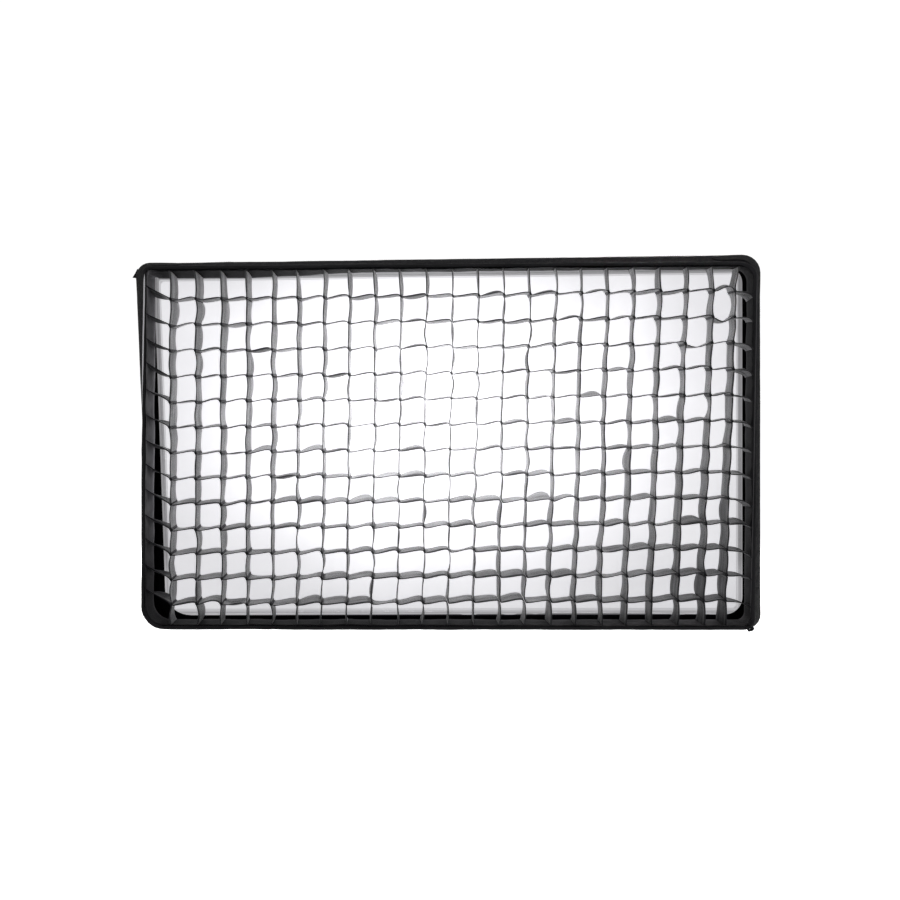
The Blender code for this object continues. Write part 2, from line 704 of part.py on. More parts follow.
lamp_adapter(softbox)
speed_ring(softbox, hinges)
retaining_ring(softbox)
rotation_lock(softbox)
for corner_name, hinge in hinges.items():
    rod_assembly(hinge, corner_name)
rear_collar(softbox)
shell_panels(softbox)
lip_panels(softbox)
lip_fittings(softbox)
inner_baffle(softbox)
front_diffuser(softbox)
fabric_grid(softbox)
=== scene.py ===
"""Looks for the 120 x 70 cm quick-fold softbox: fabric, grid, diffuser and every material.

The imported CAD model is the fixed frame. Sizes and places come from it, in metres: X to the right, Z up, and
the grid faces -Y. Soft pieces follow the four rods as they fold, through weights stored on their points.
"""

import json
import math
import random

import bmesh
import bpy
import numpy as np
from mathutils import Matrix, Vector, noise

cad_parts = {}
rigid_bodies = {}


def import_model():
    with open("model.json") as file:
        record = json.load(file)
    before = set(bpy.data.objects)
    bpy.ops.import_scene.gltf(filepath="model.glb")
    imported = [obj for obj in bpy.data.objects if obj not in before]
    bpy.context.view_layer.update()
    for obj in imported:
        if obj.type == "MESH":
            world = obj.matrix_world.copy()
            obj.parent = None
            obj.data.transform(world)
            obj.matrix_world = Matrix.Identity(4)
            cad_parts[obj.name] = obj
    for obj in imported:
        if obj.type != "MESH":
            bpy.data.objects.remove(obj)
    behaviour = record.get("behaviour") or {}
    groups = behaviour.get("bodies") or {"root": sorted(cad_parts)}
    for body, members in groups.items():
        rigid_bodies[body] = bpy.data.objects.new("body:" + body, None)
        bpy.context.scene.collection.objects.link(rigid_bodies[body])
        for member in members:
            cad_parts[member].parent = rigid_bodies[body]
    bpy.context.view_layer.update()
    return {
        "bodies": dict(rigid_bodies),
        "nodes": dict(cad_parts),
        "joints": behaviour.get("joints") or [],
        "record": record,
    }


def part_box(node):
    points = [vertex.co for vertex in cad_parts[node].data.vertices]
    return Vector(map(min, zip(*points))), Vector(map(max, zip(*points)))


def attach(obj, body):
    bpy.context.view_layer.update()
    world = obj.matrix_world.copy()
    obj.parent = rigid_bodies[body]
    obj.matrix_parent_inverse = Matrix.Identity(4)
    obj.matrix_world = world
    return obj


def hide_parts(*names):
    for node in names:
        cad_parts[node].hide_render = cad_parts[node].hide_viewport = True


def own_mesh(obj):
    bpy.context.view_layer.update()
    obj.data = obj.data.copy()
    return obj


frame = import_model()
JOINTS = {joint["name"]: joint for joint in frame["joints"]}


def middle_y(node):
    """The depth of a CAD node's middle."""
    return (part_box(node)[0].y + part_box(node)[1].y) / 2


# Sizes read from the frame.

CORNERS = ("top_right", "top_left", "bottom_left", "bottom_right")
SIGNS = {"top_right": (1, 1), "top_left": (-1, 1), "bottom_left": (-1, -1), "bottom_right": (1, -1)}
HINGE = Vector(JOINTS["fold_top_right"]["pos_m"])
HINGE_RADIUS = math.hypot(HINGE.x, HINGE.z)
ROD_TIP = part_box("rod_top_right")[1].x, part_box("rod_top_right")[0].y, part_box("rod_top_right")[1].z
RIM_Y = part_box("shell_top")[0].y
RIM_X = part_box("shell_right")[1].x
RIM_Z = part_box("shell_top")[1].z
SHELL_REAR_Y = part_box("shell_top")[1].y
GRID_LOW, GRID_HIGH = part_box("grid_dividers")
FRONT_Y = GRID_LOW.y
GRID_DEPTH = GRID_HIGH.y - GRID_LOW.y
HALF_X, HALF_Z = GRID_HIGH.x, GRID_HIGH.z
COLUMNS, ROWS = 24, 14
CELL = 2 * HALF_X / COLUMNS
BAFFLE_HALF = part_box("inner_baffle")[1].x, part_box("inner_baffle")[1].z
TAPE_LOW, TAPE_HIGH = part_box("lip_loop_tape")
LIP_X, LIP_Z = TAPE_HIGH.x, TAPE_HIGH.z
THROAT_Y = TAPE_HIGH.y + 0.003
HEM_LOW, HEM_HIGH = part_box("front_binding")

ROD_BOW = 0.022             # outward bulge of the tensioned rods, as in the CAD rods
SHELL_MARGIN = 0.017        # from a rod's axis sideways and upwards to the outside of the shell
ROD_REACH = math.hypot(RIM_X - SHELL_MARGIN, RIM_Z - SHELL_MARGIN)
CORNER_ANGLE = math.atan2(RIM_Z - SHELL_MARGIN, RIM_X - SHELL_MARGIN)
ROD_INSET = 0.97            # the rods run a little inside the corners of the fabric
PLEAT_SIZE = 0.012
PLEAT_PITCH = 0.030, 0.028  # along the wide and the high panels
FLOOR_Z = -0.75             # below the softbox however it is turned on its ring

# How far the sewn corners hang out of true, as (x, z), and how round they are.
RIM_OFFSETS = {
    "top_right": (-0.012, 0.007), "top_left": (-0.016, -0.0065),
    "bottom_left": (0.002, 0.001), "bottom_right": (0.003, 0.011),
}
FRONT_OFFSETS = {
    "top_right": (-0.015, 0.007), "top_left": (0.005, 0.002),
    "bottom_left": (-0.012, -0.002), "bottom_right": (-0.0075, 0.005),
}
RIM_RADII = (0.034, 0.027, 0.022, 0.026)
FRONT_RADII = (0.030, 0.009, 0.045, 0.020)
DIFFUSER_RADII = (0.030, 0.010, 0.052, 0.036)
COLLAR_RADII = (0.010,) * 4
BAFFLE_RADII = (0.030,) * 4
LEDGE_RADII = (0.020,) * 4
SQUARE = (0.0,) * 4

ALONG, ARC = 44, 6          # stations along each side and round each corner of an outline
FINE = 88, 8                # the same for cords and stitches

RANDOM = random.Random(20)


# Shape of the shell between the rods.

def rod_point(t):
    """(radius, y) of a rod's axis at t, from 0 on its hinge to 1 in the plane of the rim."""
    start = Vector((HINGE_RADIUS, HINGE.y))
    chord = Vector((ROD_REACH, RIM_Y)) - start
    outward = Vector((-chord.y, chord.x)).normalized()
    return start + chord * t + outward * (4 * ROD_BOW * t * (1 - t))


def shell_half(t):
    """(half width, half height, y) of the outside of the shell, level with the rods at t."""
    radius, y = rod_point(t)
    across = radius * math.cos(CORNER_ANGLE) + SHELL_MARGIN
    up = radius * math.sin(CORNER_ANGLE) + SHELL_MARGIN
    return across, up, y


SECTIONS = np.array([shell_half(i / 60) for i in range(61)])
SHELL_START = next(t / 500 for t in range(500) if shell_half(t / 500)[2] <= SHELL_REAR_Y)


def half_at(y):
    """(half width, half height) of the softbox at depth y, for arrays of y."""
    inside = [np.interp(-y, -SECTIONS[:, 2], SECTIONS[:, axis]) for axis in (0, 1)]
    lean = np.clip((RIM_Y - y) / (RIM_Y - THROAT_Y), 0, 1)
    return inside[0] + lean * (LIP_X - RIM_X), inside[1] + lean * (LIP_Z - RIM_Z)


def smooth(x):
    x = np.clip(x, 0, 1)
    return x * x * (3 - 2 * x)


def ripple(x, y, z, scale, seed=0.0):
    """Smooth noise between -1 and 1."""
    return noise.noise(Vector((x / scale + seed, y / scale - seed, z / scale + 2 * seed)))


def centred(i, count):
    """i, from 0 to count, as a place from -1 to 1."""
    return 2 * i / count - 1


def turns(count, rounds=1.0):
    """Angles of count points spread over this many rounds."""
    return [2 * math.pi * rounds * k / count for k in range(count)]


# Outlines: stations round a rectangle with round corners.

def quarter(x, y, count):
    """(x, y) turned by this many quarters."""
    for _ in range(count):
        x, y = -y, x
    return Vector((x, y))


def outline(half_x, half_z, radii, along=ALONG, arc=ARC):
    """Stations round a rectangle with its own radius at each corner, anticlockwise from the right side.

    Each is (point, normal, side, s): side counts right, top, left, bottom, and s runs from -1 to 1 along the
    side and stays at 1 on the corner's arc.
    """
    made = []
    for side in range(4):
        reach, span = (half_x, half_z) if side % 2 == 0 else (half_z, half_x)
        radius = radii[side]
        start, end = radii[side - 1] - span, span - radius
        for i in range(along + 1):
            point = quarter(reach, start + (end - start) * i / along, side)
            made.append((point, quarter(1, 0, side), side, centred(i, along)))
        for i in range(1, arc):
            angle = math.pi / 2 * i / arc
            c, d = math.cos(angle), math.sin(angle)
            point = quarter(reach - radius + radius * c, span - radius + radius * d, side)
            made.append((point, quarter(c, d, side), side, 1.0))
    return made


def between(a, b, share):
    """Corner radii part of the way from the set a to the set b."""
    return [p + (q - p) * share for p, q in zip(a, b)]


def corner_arc(stations, corner):
    """The stations from one side's end round a corner to the next side's start."""
    last = (corner + 1) * (ALONG + ARC)
    return [stations[k % len(stations)] for k in range(last - ARC, last + 1)]


def at(point, y):
    """A point (x, z) of an outline, placed at depth y."""
    return point.x, y, point.y


def ring_at(stations, y):
    """The points of an outline's stations, placed at depth y."""
    return [at(station[0], y) for station in stations]


# Meshes and pieces.

def mesh_of(name, points, faces):
    mesh = bpy.data.meshes.new(name)
    mesh.from_pydata([tuple(p) for p in points], [], faces)
    mesh.update()
    return mesh


def add_net(points, faces, rows, wrap=False):
    """Adds quads through rows of points to a mesh's lists. wrap joins the end of each row to its start."""
    first, count = len(points), len(rows[0])
    for row in rows:
        points += row
    for r in range(len(rows) - 1):
        here, ahead = first + r * count, first + (r + 1) * count
        for c in range(count if wrap else count - 1):
            d = (c + 1) % count
            faces.append((here + c, here + d, ahead + d, ahead + c))


def net(name, rows, wrap=False, capped=False):
    """A mesh of quads through rows of points. capped closes the first and the last row with a face."""
    points, faces = [], []
    add_net(points, faces, rows, wrap)
    if capped:
        count = len(rows[0])
        faces.append(tuple(range(count - 1, -1, -1)))
        faces.append(tuple(range(len(points) - count, len(points))))
    return mesh_of(name, points, faces)


def joined(mesh):
    """The mesh with its points joined where they lie on each other, and its skin facing outwards."""
    bm = bmesh.new()
    bm.from_mesh(mesh)
    bmesh.ops.remove_doubles(bm, verts=bm.verts, dist=0.00001)
    bmesh.ops.recalc_face_normals(bm, faces=bm.faces)
    bm.to_mesh(mesh)
    bm.free()
    return mesh


def add_object(name, data):
    made = bpy.data.objects.new(name, data)
    bpy.context.scene.collection.objects.link(made)
    return made


def piece(name, mesh, materials, replaces=(), body="ring"):
    """A new piece of the object that rides on a CAD body.

    It stands for the CAD node of its own name, where there is one, and for the others in replaces.
    """
    made = add_object(name, mesh)
    for material in materials:
        mesh.materials.append(material)
    mesh.shade_smooth()
    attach(made, body)
    stood_for = [node for node in (name, *replaces) if node in frame["nodes"]]
    if stood_for:
        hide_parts(*stood_for)
    return made


def fabric(name, mesh, materials, replaces=(), body="ring",
           thickness=0.0, offset=0, inside=0, draw_in=0.0):
    """A new piece that bends with the rods.

    offset is 1 where the thickness grows outwards and 0 where it grows both ways. inside is how many material
    slots further the new side's material is. draw_in is how far an inner piece's corners slip in when folded.
    """
    made = piece(name, mesh, materials, replaces, body)
    follow_rods(made, body if body in ROD_FOLLOWERS else "ring", draw_in)
    if thickness:
        solidify = made.modifiers.new("thickness", "SOLIDIFY")
        solidify.thickness = thickness
        solidify.offset = offset
        solidify.material_offset = inside


# Fabric that hangs a little out of true and follows the rods.

def corner_shares(points, reach=1.0):
    """(u, t) across and up, from -1 to 1, and each corner's bilinear share."""
    half_x, half_z = half_at(points[:, 1])
    u = np.clip(points[:, 0] / (half_x * reach), -1, 1)
    t = np.clip(points[:, 2] / (half_z * reach), -1, 1)
    return u, t, np.stack([(1 + sx * u) * (1 + sz * t) / 4 for sx, sz in SIGNS.values()], axis=1)


def out_of_true(points):
    """Where each point hangs, from its place in a perfectly sewn and squared softbox, as offsets."""
    shares = corner_shares(points)[2]
    rim = shares @ np.array([RIM_OFFSETS[corner] for corner in CORNERS])
    front = shares @ np.array([FRONT_OFFSETS[corner] for corner in CORNERS])
    y = points[:, 1:2]
    start = HINGE.y - 0.02
    taut = smooth((start - y) / (start - RIM_Y))
    lean = np.clip((RIM_Y - y) / (RIM_Y - GRID_HIGH.y), 0, 1)
    both = rim * taut * (1 - lean) + front * lean
    return np.stack([both[:, 0], np.zeros(len(points)), both[:, 1]], axis=1)


def rod_weights(points):
    """One column of weights for each corner. What is left of 1 follows the speed ring."""
    grip = smooth((HINGE.y - 0.012 - points[:, 1]) / 0.07)
    return grip[:, None] * corner_shares(points, ROD_INSET)[2]


def pleats(points, draw_in):
    """Where each point goes when the fabric bunches up between the folded rods, at full fold."""
    u, t, _ = corner_shares(points)
    slack = smooth((HINGE.y - 0.05 - points[:, 1]) / 0.30)
    across = np.sin(points[:, 0] / PLEAT_PITCH[0]) * (1 - u ** 4) * np.sign(t) * t ** 4
    up = np.sin(points[:, 2] / PLEAT_PITCH[1]) * (1 - t ** 4) * np.sign(u) * u ** 4
    bunched = np.stack([up * slack, 0 * u, across * slack], axis=1) * PLEAT_SIZE
    return bunched - np.stack([u, 0 * u, t], axis=1) * draw_in


def write_values(mesh, name, values, kind="FLOAT", field="value"):
    """Stores values on the points of a mesh."""
    attribute = mesh.attributes.new(name, kind, "POINT")
    attribute.data.foreach_set(field, np.ascontiguousarray(values, np.float32).ravel())


def follow_rods(obj, own, draw_in):
    """Hangs obj, a mesh built in its true place, a little out of true and makes it bend with the rods.

    own is the rod that obj rides on, or the ring.
    """
    mesh = obj.data
    points = np.zeros(len(mesh.vertices) * 3)
    mesh.vertices.foreach_get("co", points)
    points = points.reshape(-1, 3)
    weights = rod_weights(points)
    for column, corner in enumerate(CORNERS):
        write_values(mesh, f"rod_{corner}", weights[:, column])
    write_values(mesh, "pleat", pleats(points, draw_in), "FLOAT_VECTOR", "vector")
    mesh.vertices.foreach_set("co", (points + out_of_true(points)).ravel())
    mesh.update()
    obj.modifiers.new("follow_rods", "NODES").node_group = ROD_FOLLOWERS[own]


def geometry_tree(name):
    """A new geometry node group, and a helper that adds a node and fills its inputs in order."""
    tree = bpy.data.node_groups.new(name, "GeometryNodeTree")
    for direction in ("INPUT", "OUTPUT"):
        tree.interface.new_socket(name="Geometry", in_out=direction, socket_type="NodeSocketGeometry")

    def node(kind, *inputs, **settings):
        made = tree.nodes.new(kind)
        for key, value in settings.items():
            setattr(made, key, value)
        for socket, value in zip(made.inputs, inputs):
            if isinstance(value, bpy.types.NodeSocket):
                tree.links.new(value, socket)
            elif value is not None:
                socket.default_value = value
        return made

    return tree, node


def rod_follower(own):
    """Node group that moves each point by its share of every rod's turn, seen from the body own."""
    tree, node = geometry_tree(f"follow_rods_{own}")

    def body_matrix(body):
        info = node("GeometryNodeObjectInfo", frame["bodies"][body], transform_space="ORIGINAL")
        return info.outputs["Transform"]

    def named(attribute, kind):
        return node("GeometryNodeInputNamedAttribute", attribute, data_type=kind).outputs[0]

    def vector(operation, a, b):
        return node("ShaderNodeVectorMath", a, b, operation=operation).outputs[0]

    def scaled(a, share):
        made = node("ShaderNodeVectorMath", a, operation="SCALE")
        tree.links.new(share, made.inputs["Scale"])
        return made.outputs[0]

    def moved(point, matrix):
        return node("FunctionNodeTransformPoint", point, matrix).outputs[0]

    start = node("NodeGroupInput")
    position = node("GeometryNodeInputPosition").outputs[0]
    to_ring = node("FunctionNodeInvertMatrix", body_matrix("ring")).outputs[0]
    moves = {
        corner: node("FunctionNodeMatrixMultiply", to_ring, body_matrix(f"rod_{corner}")).outputs[0]
        for corner in CORNERS
    }
    place = position
    for corner in CORNERS:
        step = vector("SUBTRACT", moved(position, moves[corner]), position)
        place = vector("ADD", place, scaled(step, named(f"rod_{corner}", "FLOAT")))
    tip = moved(ROD_TIP, moves["top_right"])
    travel = node("ShaderNodeVectorMath", tip, ROD_TIP, operation="DISTANCE").outputs["Value"]
    fold = math.radians(JOINTS["fold_top_right"]["range_deg"][1])
    full_travel = 2 * (Vector(ROD_TIP) - HINGE).length * math.sin(fold / 2)
    folded = node("ShaderNodeMath", travel, full_travel, operation="DIVIDE").outputs[0]
    place = vector("ADD", place, scaled(named("pleat", "FLOAT_VECTOR"), folded))
    if own != "ring":
        to_own = node("FunctionNodeInvertMatrix", moves[own.removeprefix("rod_")]).outputs[0]
        place = moved(place, to_own)
    settle = node("GeometryNodeSetPosition", start.outputs[0], None, place)
    node("NodeGroupOutput", settle.outputs[0])
    return tree


def smooth_by_angle(limit):
    """Node group that shades a mesh smooth, apart from the edges that are sharper than limit."""
    tree, node = geometry_tree("smooth_by_angle")
    start = node("NodeGroupInput")
    angle = node("GeometryNodeInputMeshEdgeAngle").outputs["Unsigned Angle"]
    sharp = node("FunctionNodeCompare", angle, limit, operation="GREATER_THAN").outputs[0]
    faces = node("GeometryNodeSetShadeSmooth", start.outputs[0])
    edges = node("GeometryNodeSetShadeSmooth", faces.outputs[0], sharp, False, domain="EDGE")
    node("NodeGroupOutput", edges.outputs[0])
    return tree


# Materials.

class Shader:
    """A new material, with short ways to add its nodes."""

    def __init__(self, name):
        self.material = bpy.data.materials.new(name)
        self.material.use_nodes = True
        self.tree = self.material.node_tree

    def add(self, kind, inputs, **settings):
        """A new node with its settings and inputs."""
        node = self.tree.nodes.new(kind)
        for key, value in settings.items():
            setattr(node, key, value)
        self.fill(node, inputs)
        return node

    def fill(self, node, inputs):
        """Links or writes a node's inputs, given by name or number. Colours come without alpha."""
        for key, value in inputs.items():
            socket = node.inputs[key]
            if hasattr(value, "links"):
                self.tree.links.new(value, socket)
            else:
                socket.default_value = (*value, 1) if socket.type == "RGBA" else value

    def surface(self, inputs):
        """Finishes the material with these inputs of its surface."""
        self.fill(self.tree.nodes["Principled BSDF"], inputs)
        return self.material

    def maths(self, operation, a, b=0.0):
        return self.add("ShaderNodeMath", {0: a, 1: b}, operation=operation).outputs[0]

    def product(self, made, *factors):
        for factor in factors:
            made = self.maths("MULTIPLY", made, factor)
        return made

    def ramp(self, factor, low, high, to_low=0.0, to_high=1.0):
        """factor mapped smoothly from low..high to to_low..to_high."""
        inputs = {"Value": factor, "From Min": low, "From Max": high, "To Min": to_low, "To Max": to_high}
        return self.add("ShaderNodeMapRange", inputs, interpolation_type="SMOOTHSTEP").outputs["Result"]

    def mix(self, factor, a, b):
        """A colour between a and b."""
        return self.add("ShaderNodeMix", {"Factor": factor, 6: a, 7: b}, data_type="RGBA").outputs[2]

    def noise(self, where, scale, detail):
        inputs = {"Vector": where, "Scale": scale, "Detail": detail}
        return self.add("ShaderNodeTexNoise", inputs).outputs["Fac"]

    def stored(self, name):
        """The value stored on the mesh under this name."""
        return self.add("ShaderNodeAttribute", {}, attribute_name=name).outputs["Fac"]

    def world_place(self):
        return self.add("ShaderNodeNewGeometry", {}).outputs["Position"]

    def own_place(self):
        return self.add("ShaderNodeTexCoord", {}).outputs["Object"]

    def split(self, vector):
        """(x, y, z) of a vector."""
        return self.add("ShaderNodeSeparateXYZ", {"Vector": vector}).outputs[:]

    def camera_ray(self):
        return self.add("ShaderNodeLightPath", {}).outputs["Is Camera Ray"]

    def bump(self, strength, distance, height):
        inputs = {"Strength": strength, "Distance": distance, "Height": height}
        return self.add("ShaderNodeBump", inputs).outputs[0]

    def weave(self, thread, strength, where, tilt=0.0):
        """Normal of a plain weave with this thread pitch."""
        turned = self.add("ShaderNodeMapping", {"Vector": where, "Rotation": (tilt, tilt, tilt)}).outputs[0]
        waves = [self.maths("SINE", self.product(axis, 2 * math.pi / thread)) for axis in self.split(turned)]
        across = self.maths("ADD", self.product(waves[0], waves[2]), waves[1])
        return self.bump(strength, thread, across)

    def hot_spot(self, x, z, centre, spread):
        """1 at the centre of the lit diffuser, falling to 0 with the distance from it."""
        dx = self.maths("DIVIDE", self.maths("SUBTRACT", x, centre[0]), spread[0])
        dz = self.maths("DIVIDE", self.maths("SUBTRACT", z, centre[1]), spread[1])
        square = self.maths("ADD", self.product(dx, dx), self.product(dz, dz))
        return self.maths("EXPONENT", self.product(square, -1.0))


def cloth(name, colour, roughness, thread, bump, sheen, mottle, specular):
    """Woven black cloth: a weave, soft sheen and slow changes of tone from handling."""
    s = Shader(name)
    where = s.world_place()
    fine = s.noise(where, 140.0, 3.0)
    both = s.maths("ADD", s.product(s.noise(where, 9.0, 5.0), 0.7), s.product(fine, 0.3))
    dark = [c * (1 - mottle) for c in colour]
    light = [c * (1 + mottle) for c in colour]
    return s.surface({
        "Base Color": s.mix(s.ramp(both, 0.3, 0.7), dark, light),
        "Roughness": s.ramp(fine, 0.3, 0.7, roughness - 0.08, roughness + 0.08),
        "Normal": s.weave(thread, bump, where),
        "Specular IOR Level": specular,
        "Sheen Weight": sheen,
        "Sheen Roughness": 0.45,
    })


def border_cloth():
    """Cloth of the grid's border, with painted light: paler down the left side and at the right end of the
    bottom.
    """
    s = Shader("border_cloth")
    where = s.own_place()
    x, _, z = s.split(where)
    # Streaks like lit creases that break up the painted light.
    painted_crease_light = s.noise(where, 22.0, 4.0)
    # Painted light down the upper part of the left wall.
    left = s.ramp(x, -HALF_X + 0.03, -HALF_X - 0.005)
    upper = s.ramp(z, -0.75 * HALF_Z, -0.3 * HALF_Z, 0.15, 1.0)
    painted_light_left = s.product(left, upper, s.ramp(painted_crease_light, 0.25, 0.7, 0.5, 1.0))
    # Painted light at the right end of the bottom.
    bottom = s.ramp(z, 0.03 - HALF_Z, 0.008 - HALF_Z)
    rightward = s.ramp(x, -0.15, 0.45)
    painted_light_low_right = s.product(bottom, rightward, s.ramp(painted_crease_light, 0.35, 0.62, 0.2, 1.0))
    base = s.mix(painted_light_low_right, (0.0045, 0.0043, 0.0052), (0.045, 0.042, 0.044))
    return s.surface({
        "Base Color": s.mix(painted_light_left, base, (0.150, 0.147, 0.155)),
        "Roughness": 0.7,
        "Specular IOR Level": 0.06,
        "Sheen Weight": 0.01,
        "Normal": s.weave(0.0012, 0.25, where),
    })


def silver_lining():
    """Silver-coated inside of the shell, with a fine crinkle."""
    s = Shader("silver_lining")
    crinkle = s.add("ShaderNodeTexVoronoi", {"Vector": s.world_place(), "Scale": 160.0}).outputs["Distance"]
    return s.surface({
        "Base Color": s.mix(crinkle, (0.74, 0.75, 0.77), (0.86, 0.87, 0.88)),
        "Metallic": 0.85,
        "Roughness": s.ramp(crinkle, 0.0, 0.8, 0.30, 0.45),
        "Normal": s.bump(0.5, 0.002, crinkle),
    })


def painted_glow_cloth(name, half_z, centre, spread, peak, edge, border, gain):
    """Painted glow of white cloth lit from behind: brightest at centre, falling to edge, doubled hem in
    painted shade.

    It is shown to the camera no brighter than a sensor would hold, and lights its surroundings by gain more.
    """
    s = Shader(name)
    where = s.own_place()
    x, _, z = s.split(where)
    inset = s.stored("inset")
    # Painted glow in place of the lamp light, brightest at the hot spot.
    painted_glow = s.maths("ADD", s.product(s.hot_spot(x, z, centre, spread), peak - edge), edge)
    # Painted shade on the doubled hem, lighter along the bottom, darker along its two stitch lines.
    hem_shade_by_height = s.ramp(z, 0.06 - half_z, 0.14 - half_z, 0.60, 0.34)
    hem_shade = s.ramp(inset, border * 0.75, border, hem_shade_by_height)
    for stitched in (0.42 * border, 1.05 * border):
        away = s.maths("ABSOLUTE", s.maths("SUBTRACT", inset, stitched))
        hem_shade = s.product(hem_shade, s.ramp(away, 0.0003, 0.0014, 0.62, 1.0))
    # The painted glow changes a little at random, with painted shade towards the bottom.
    soft = s.ramp(s.noise(where, 5.0, 4.0), 0.3, 0.7, 0.95, 1.04)
    painted_shade_downward = s.ramp(z, -half_z, 0.0, 0.86, 1.0)
    strength = s.product(painted_glow, hem_shade, soft, painted_shade_downward)
    seen = s.maths("MINIMUM", strength, 1.12)
    cast = s.product(s.maths("POWER", strength, 1.05), gain)
    choices = {"Factor": s.camera_ray(), 2: cast, 3: seen}
    chosen = s.add("ShaderNodeMix", choices, data_type="FLOAT").outputs[0]
    facing = s.split(s.add("ShaderNodeNewGeometry", {}).outputs["Normal"])[1]
    return s.surface({
        "Emission Strength": s.product(chosen, s.ramp(facing, -0.1, 0.3, 1.0, 0.25)),
        "Emission Color": (0.975, 0.97, 1.0),
        "Base Color": (0.80, 0.80, 0.81),
        "Roughness": 0.85,
        "Normal": s.weave(0.0009, 0.15, where),
    })


def grid_cloth():
    """Thin black strip, greyed by sheen and painted grazing light; darker hems; painted shade at seams and
    border.

    Painted light before the brightest part of the diffuser makes hems and seams paler there.
    """
    s = Shader("grid_cloth")
    x, _, z = s.split(s.own_place())
    depth = s.stored("depth")
    # Painted shade where two strips meet at a seam.
    seam = s.ramp(s.stored("seam"), 0.6, 1.0, 0.0, 0.85)
    lengthways = s.add("ShaderNodeCombineXYZ", {0: s.product(depth, 1.5), 1: s.stored("run")}).outputs[0]
    streaks = s.ramp(s.noise(lengthways, 2.2, 3.0), 0.36, 0.64)
    # Painted light before the diffuser's bright middle, which pales hems and seams.
    glow = s.hot_spot(x, z, (-0.03, 0.05), (0.30, 0.22))

    # Painted shade towards the bottom right and the bottom, and at the strips' feet by the border.
    low_right_shade = s.ramp(s.maths("SUBTRACT", x, z), 0.20, 0.90, 0.0, 0.72)
    shaded = s.maths("MAXIMUM", low_right_shade, s.ramp(z, 0.10, -HALF_Z, 0.0, 0.33))
    side_foot_shade = s.product(
        s.ramp(s.maths("ABSOLUTE", x), HALF_X - 0.046, HALF_X - 0.020), s.ramp(x, -0.2, 0.2, 0.88, 0.55))
    bottom_foot_shade = s.ramp(z, 0.034 - HALF_Z, 0.008 - HALF_Z, 0.0, 0.6)
    seam_and_border_shade = s.maths("MAXIMUM", seam, s.maths("MAXIMUM", side_foot_shade, bottom_foot_shade))

    # The strips' grey is painted grazing light, streaked along their length.
    plain = s.mix(streaks, (0.045, 0.044, 0.048), (0.33, 0.327, 0.34))
    plain = s.mix(shaded, plain, (0.012, 0.012, 0.013))
    hem_colour = s.mix(glow, (0.028, 0.028, 0.031), (0.20, 0.198, 0.205))
    seam_colour = s.mix(glow, (0.010, 0.010, 0.012), (0.10, 0.10, 0.103))
    from_middle = s.maths("ABSOLUTE", s.maths("SUBTRACT", depth, 0.5))
    hemmed = s.mix(s.ramp(from_middle, 0.36, 0.44), plain, hem_colour)
    # Sheen and specular fade with the painted shade.
    open_cloth = s.product(s.maths("SUBTRACT", 1.0, seam_and_border_shade), s.ramp(shaded, 0.0, 1.0, 1.0, 0.1))
    return s.surface({
        "Base Color": s.mix(seam_and_border_shade, hemmed, seam_colour),
        "Sheen Weight": s.product(open_cloth, 0.9),
        "Specular IOR Level": s.product(open_cloth, 0.35),
        "Roughness": 0.55,
        "Sheen Roughness": 0.4,
        "Normal": s.weave(0.0008, 0.2, s.world_place(), 0.6),
    })


def moulded(name, colour, roughness, grain, metallic=0.0, bump=0.12):
    """Moulded plastic or powder-coated metal with a fine texture and lighter worn patches."""
    s = Shader(name)
    where = s.world_place()
    wear = s.noise(where, 40.0, 6.0)
    worn = [min(1, c * 2.2 + 0.01) for c in colour]
    return s.surface({
        "Base Color": s.mix(s.ramp(wear, 0.55, 0.8), colour, worn),
        "Roughness": s.ramp(wear, 0.3, 0.7, roughness - 0.08, roughness + 0.08),
        "Metallic": metallic,
        "Normal": s.bump(bump, 0.0004, s.noise(where, grain, 2.0)),
    })


def turned_metal(name, colour, roughness, groove):
    """Metal with fine turning marks round the optical axis."""
    s = Shader(name)
    where = s.world_place()
    x, _, z = s.split(where)
    radial = s.maths("SQRT", s.maths("ADD", s.product(x, x), s.product(z, z)))
    marks = s.maths("SINE", s.product(radial, 2 * math.pi / groove))
    smudge = s.ramp(s.noise(where, 60.0, 4.0), 0.3, 0.7)
    return s.surface({
        "Base Color": s.mix(smudge, [c * 0.8 for c in colour], colour),
        "Roughness": s.maths("ADD", s.product(smudge, 0.16), roughness - 0.06),
        "Metallic": 1.0,
        "Normal": s.bump(0.12, 0.0002, marks),
    })


def pale_floor():
    """White floor that takes a faint shadow. It glows for the camera only, so it doesn't light the fabric."""
    s = Shader("pale_floor")
    return s.surface({
        "Base Color": (0.80, 0.80, 0.80),
        "Roughness": 0.9,
        "Specular IOR Level": 0.1,
        "Emission Color": (1, 1, 1),
        "Emission Strength": s.product(s.camera_ray(), 0.86),
    })


NYLON = cloth("black_nylon", (0.0056, 0.0051, 0.0068),
              roughness=0.5, thread=0.0012, bump=0.25, sheen=0.015, mottle=0.3, specular=0.10)
SHELL_CLOTH = cloth("shell_nylon", (0.0085, 0.0080, 0.0095),
                    roughness=0.42, thread=0.0012, bump=0.25, sheen=0.03, mottle=0.35, specular=0.28)
BINDING = cloth("binding_tape", (0.013, 0.0127, 0.0147),
                roughness=0.6, thread=0.0022, bump=0.6, sheen=0.03, mottle=0.4, specular=0.16)
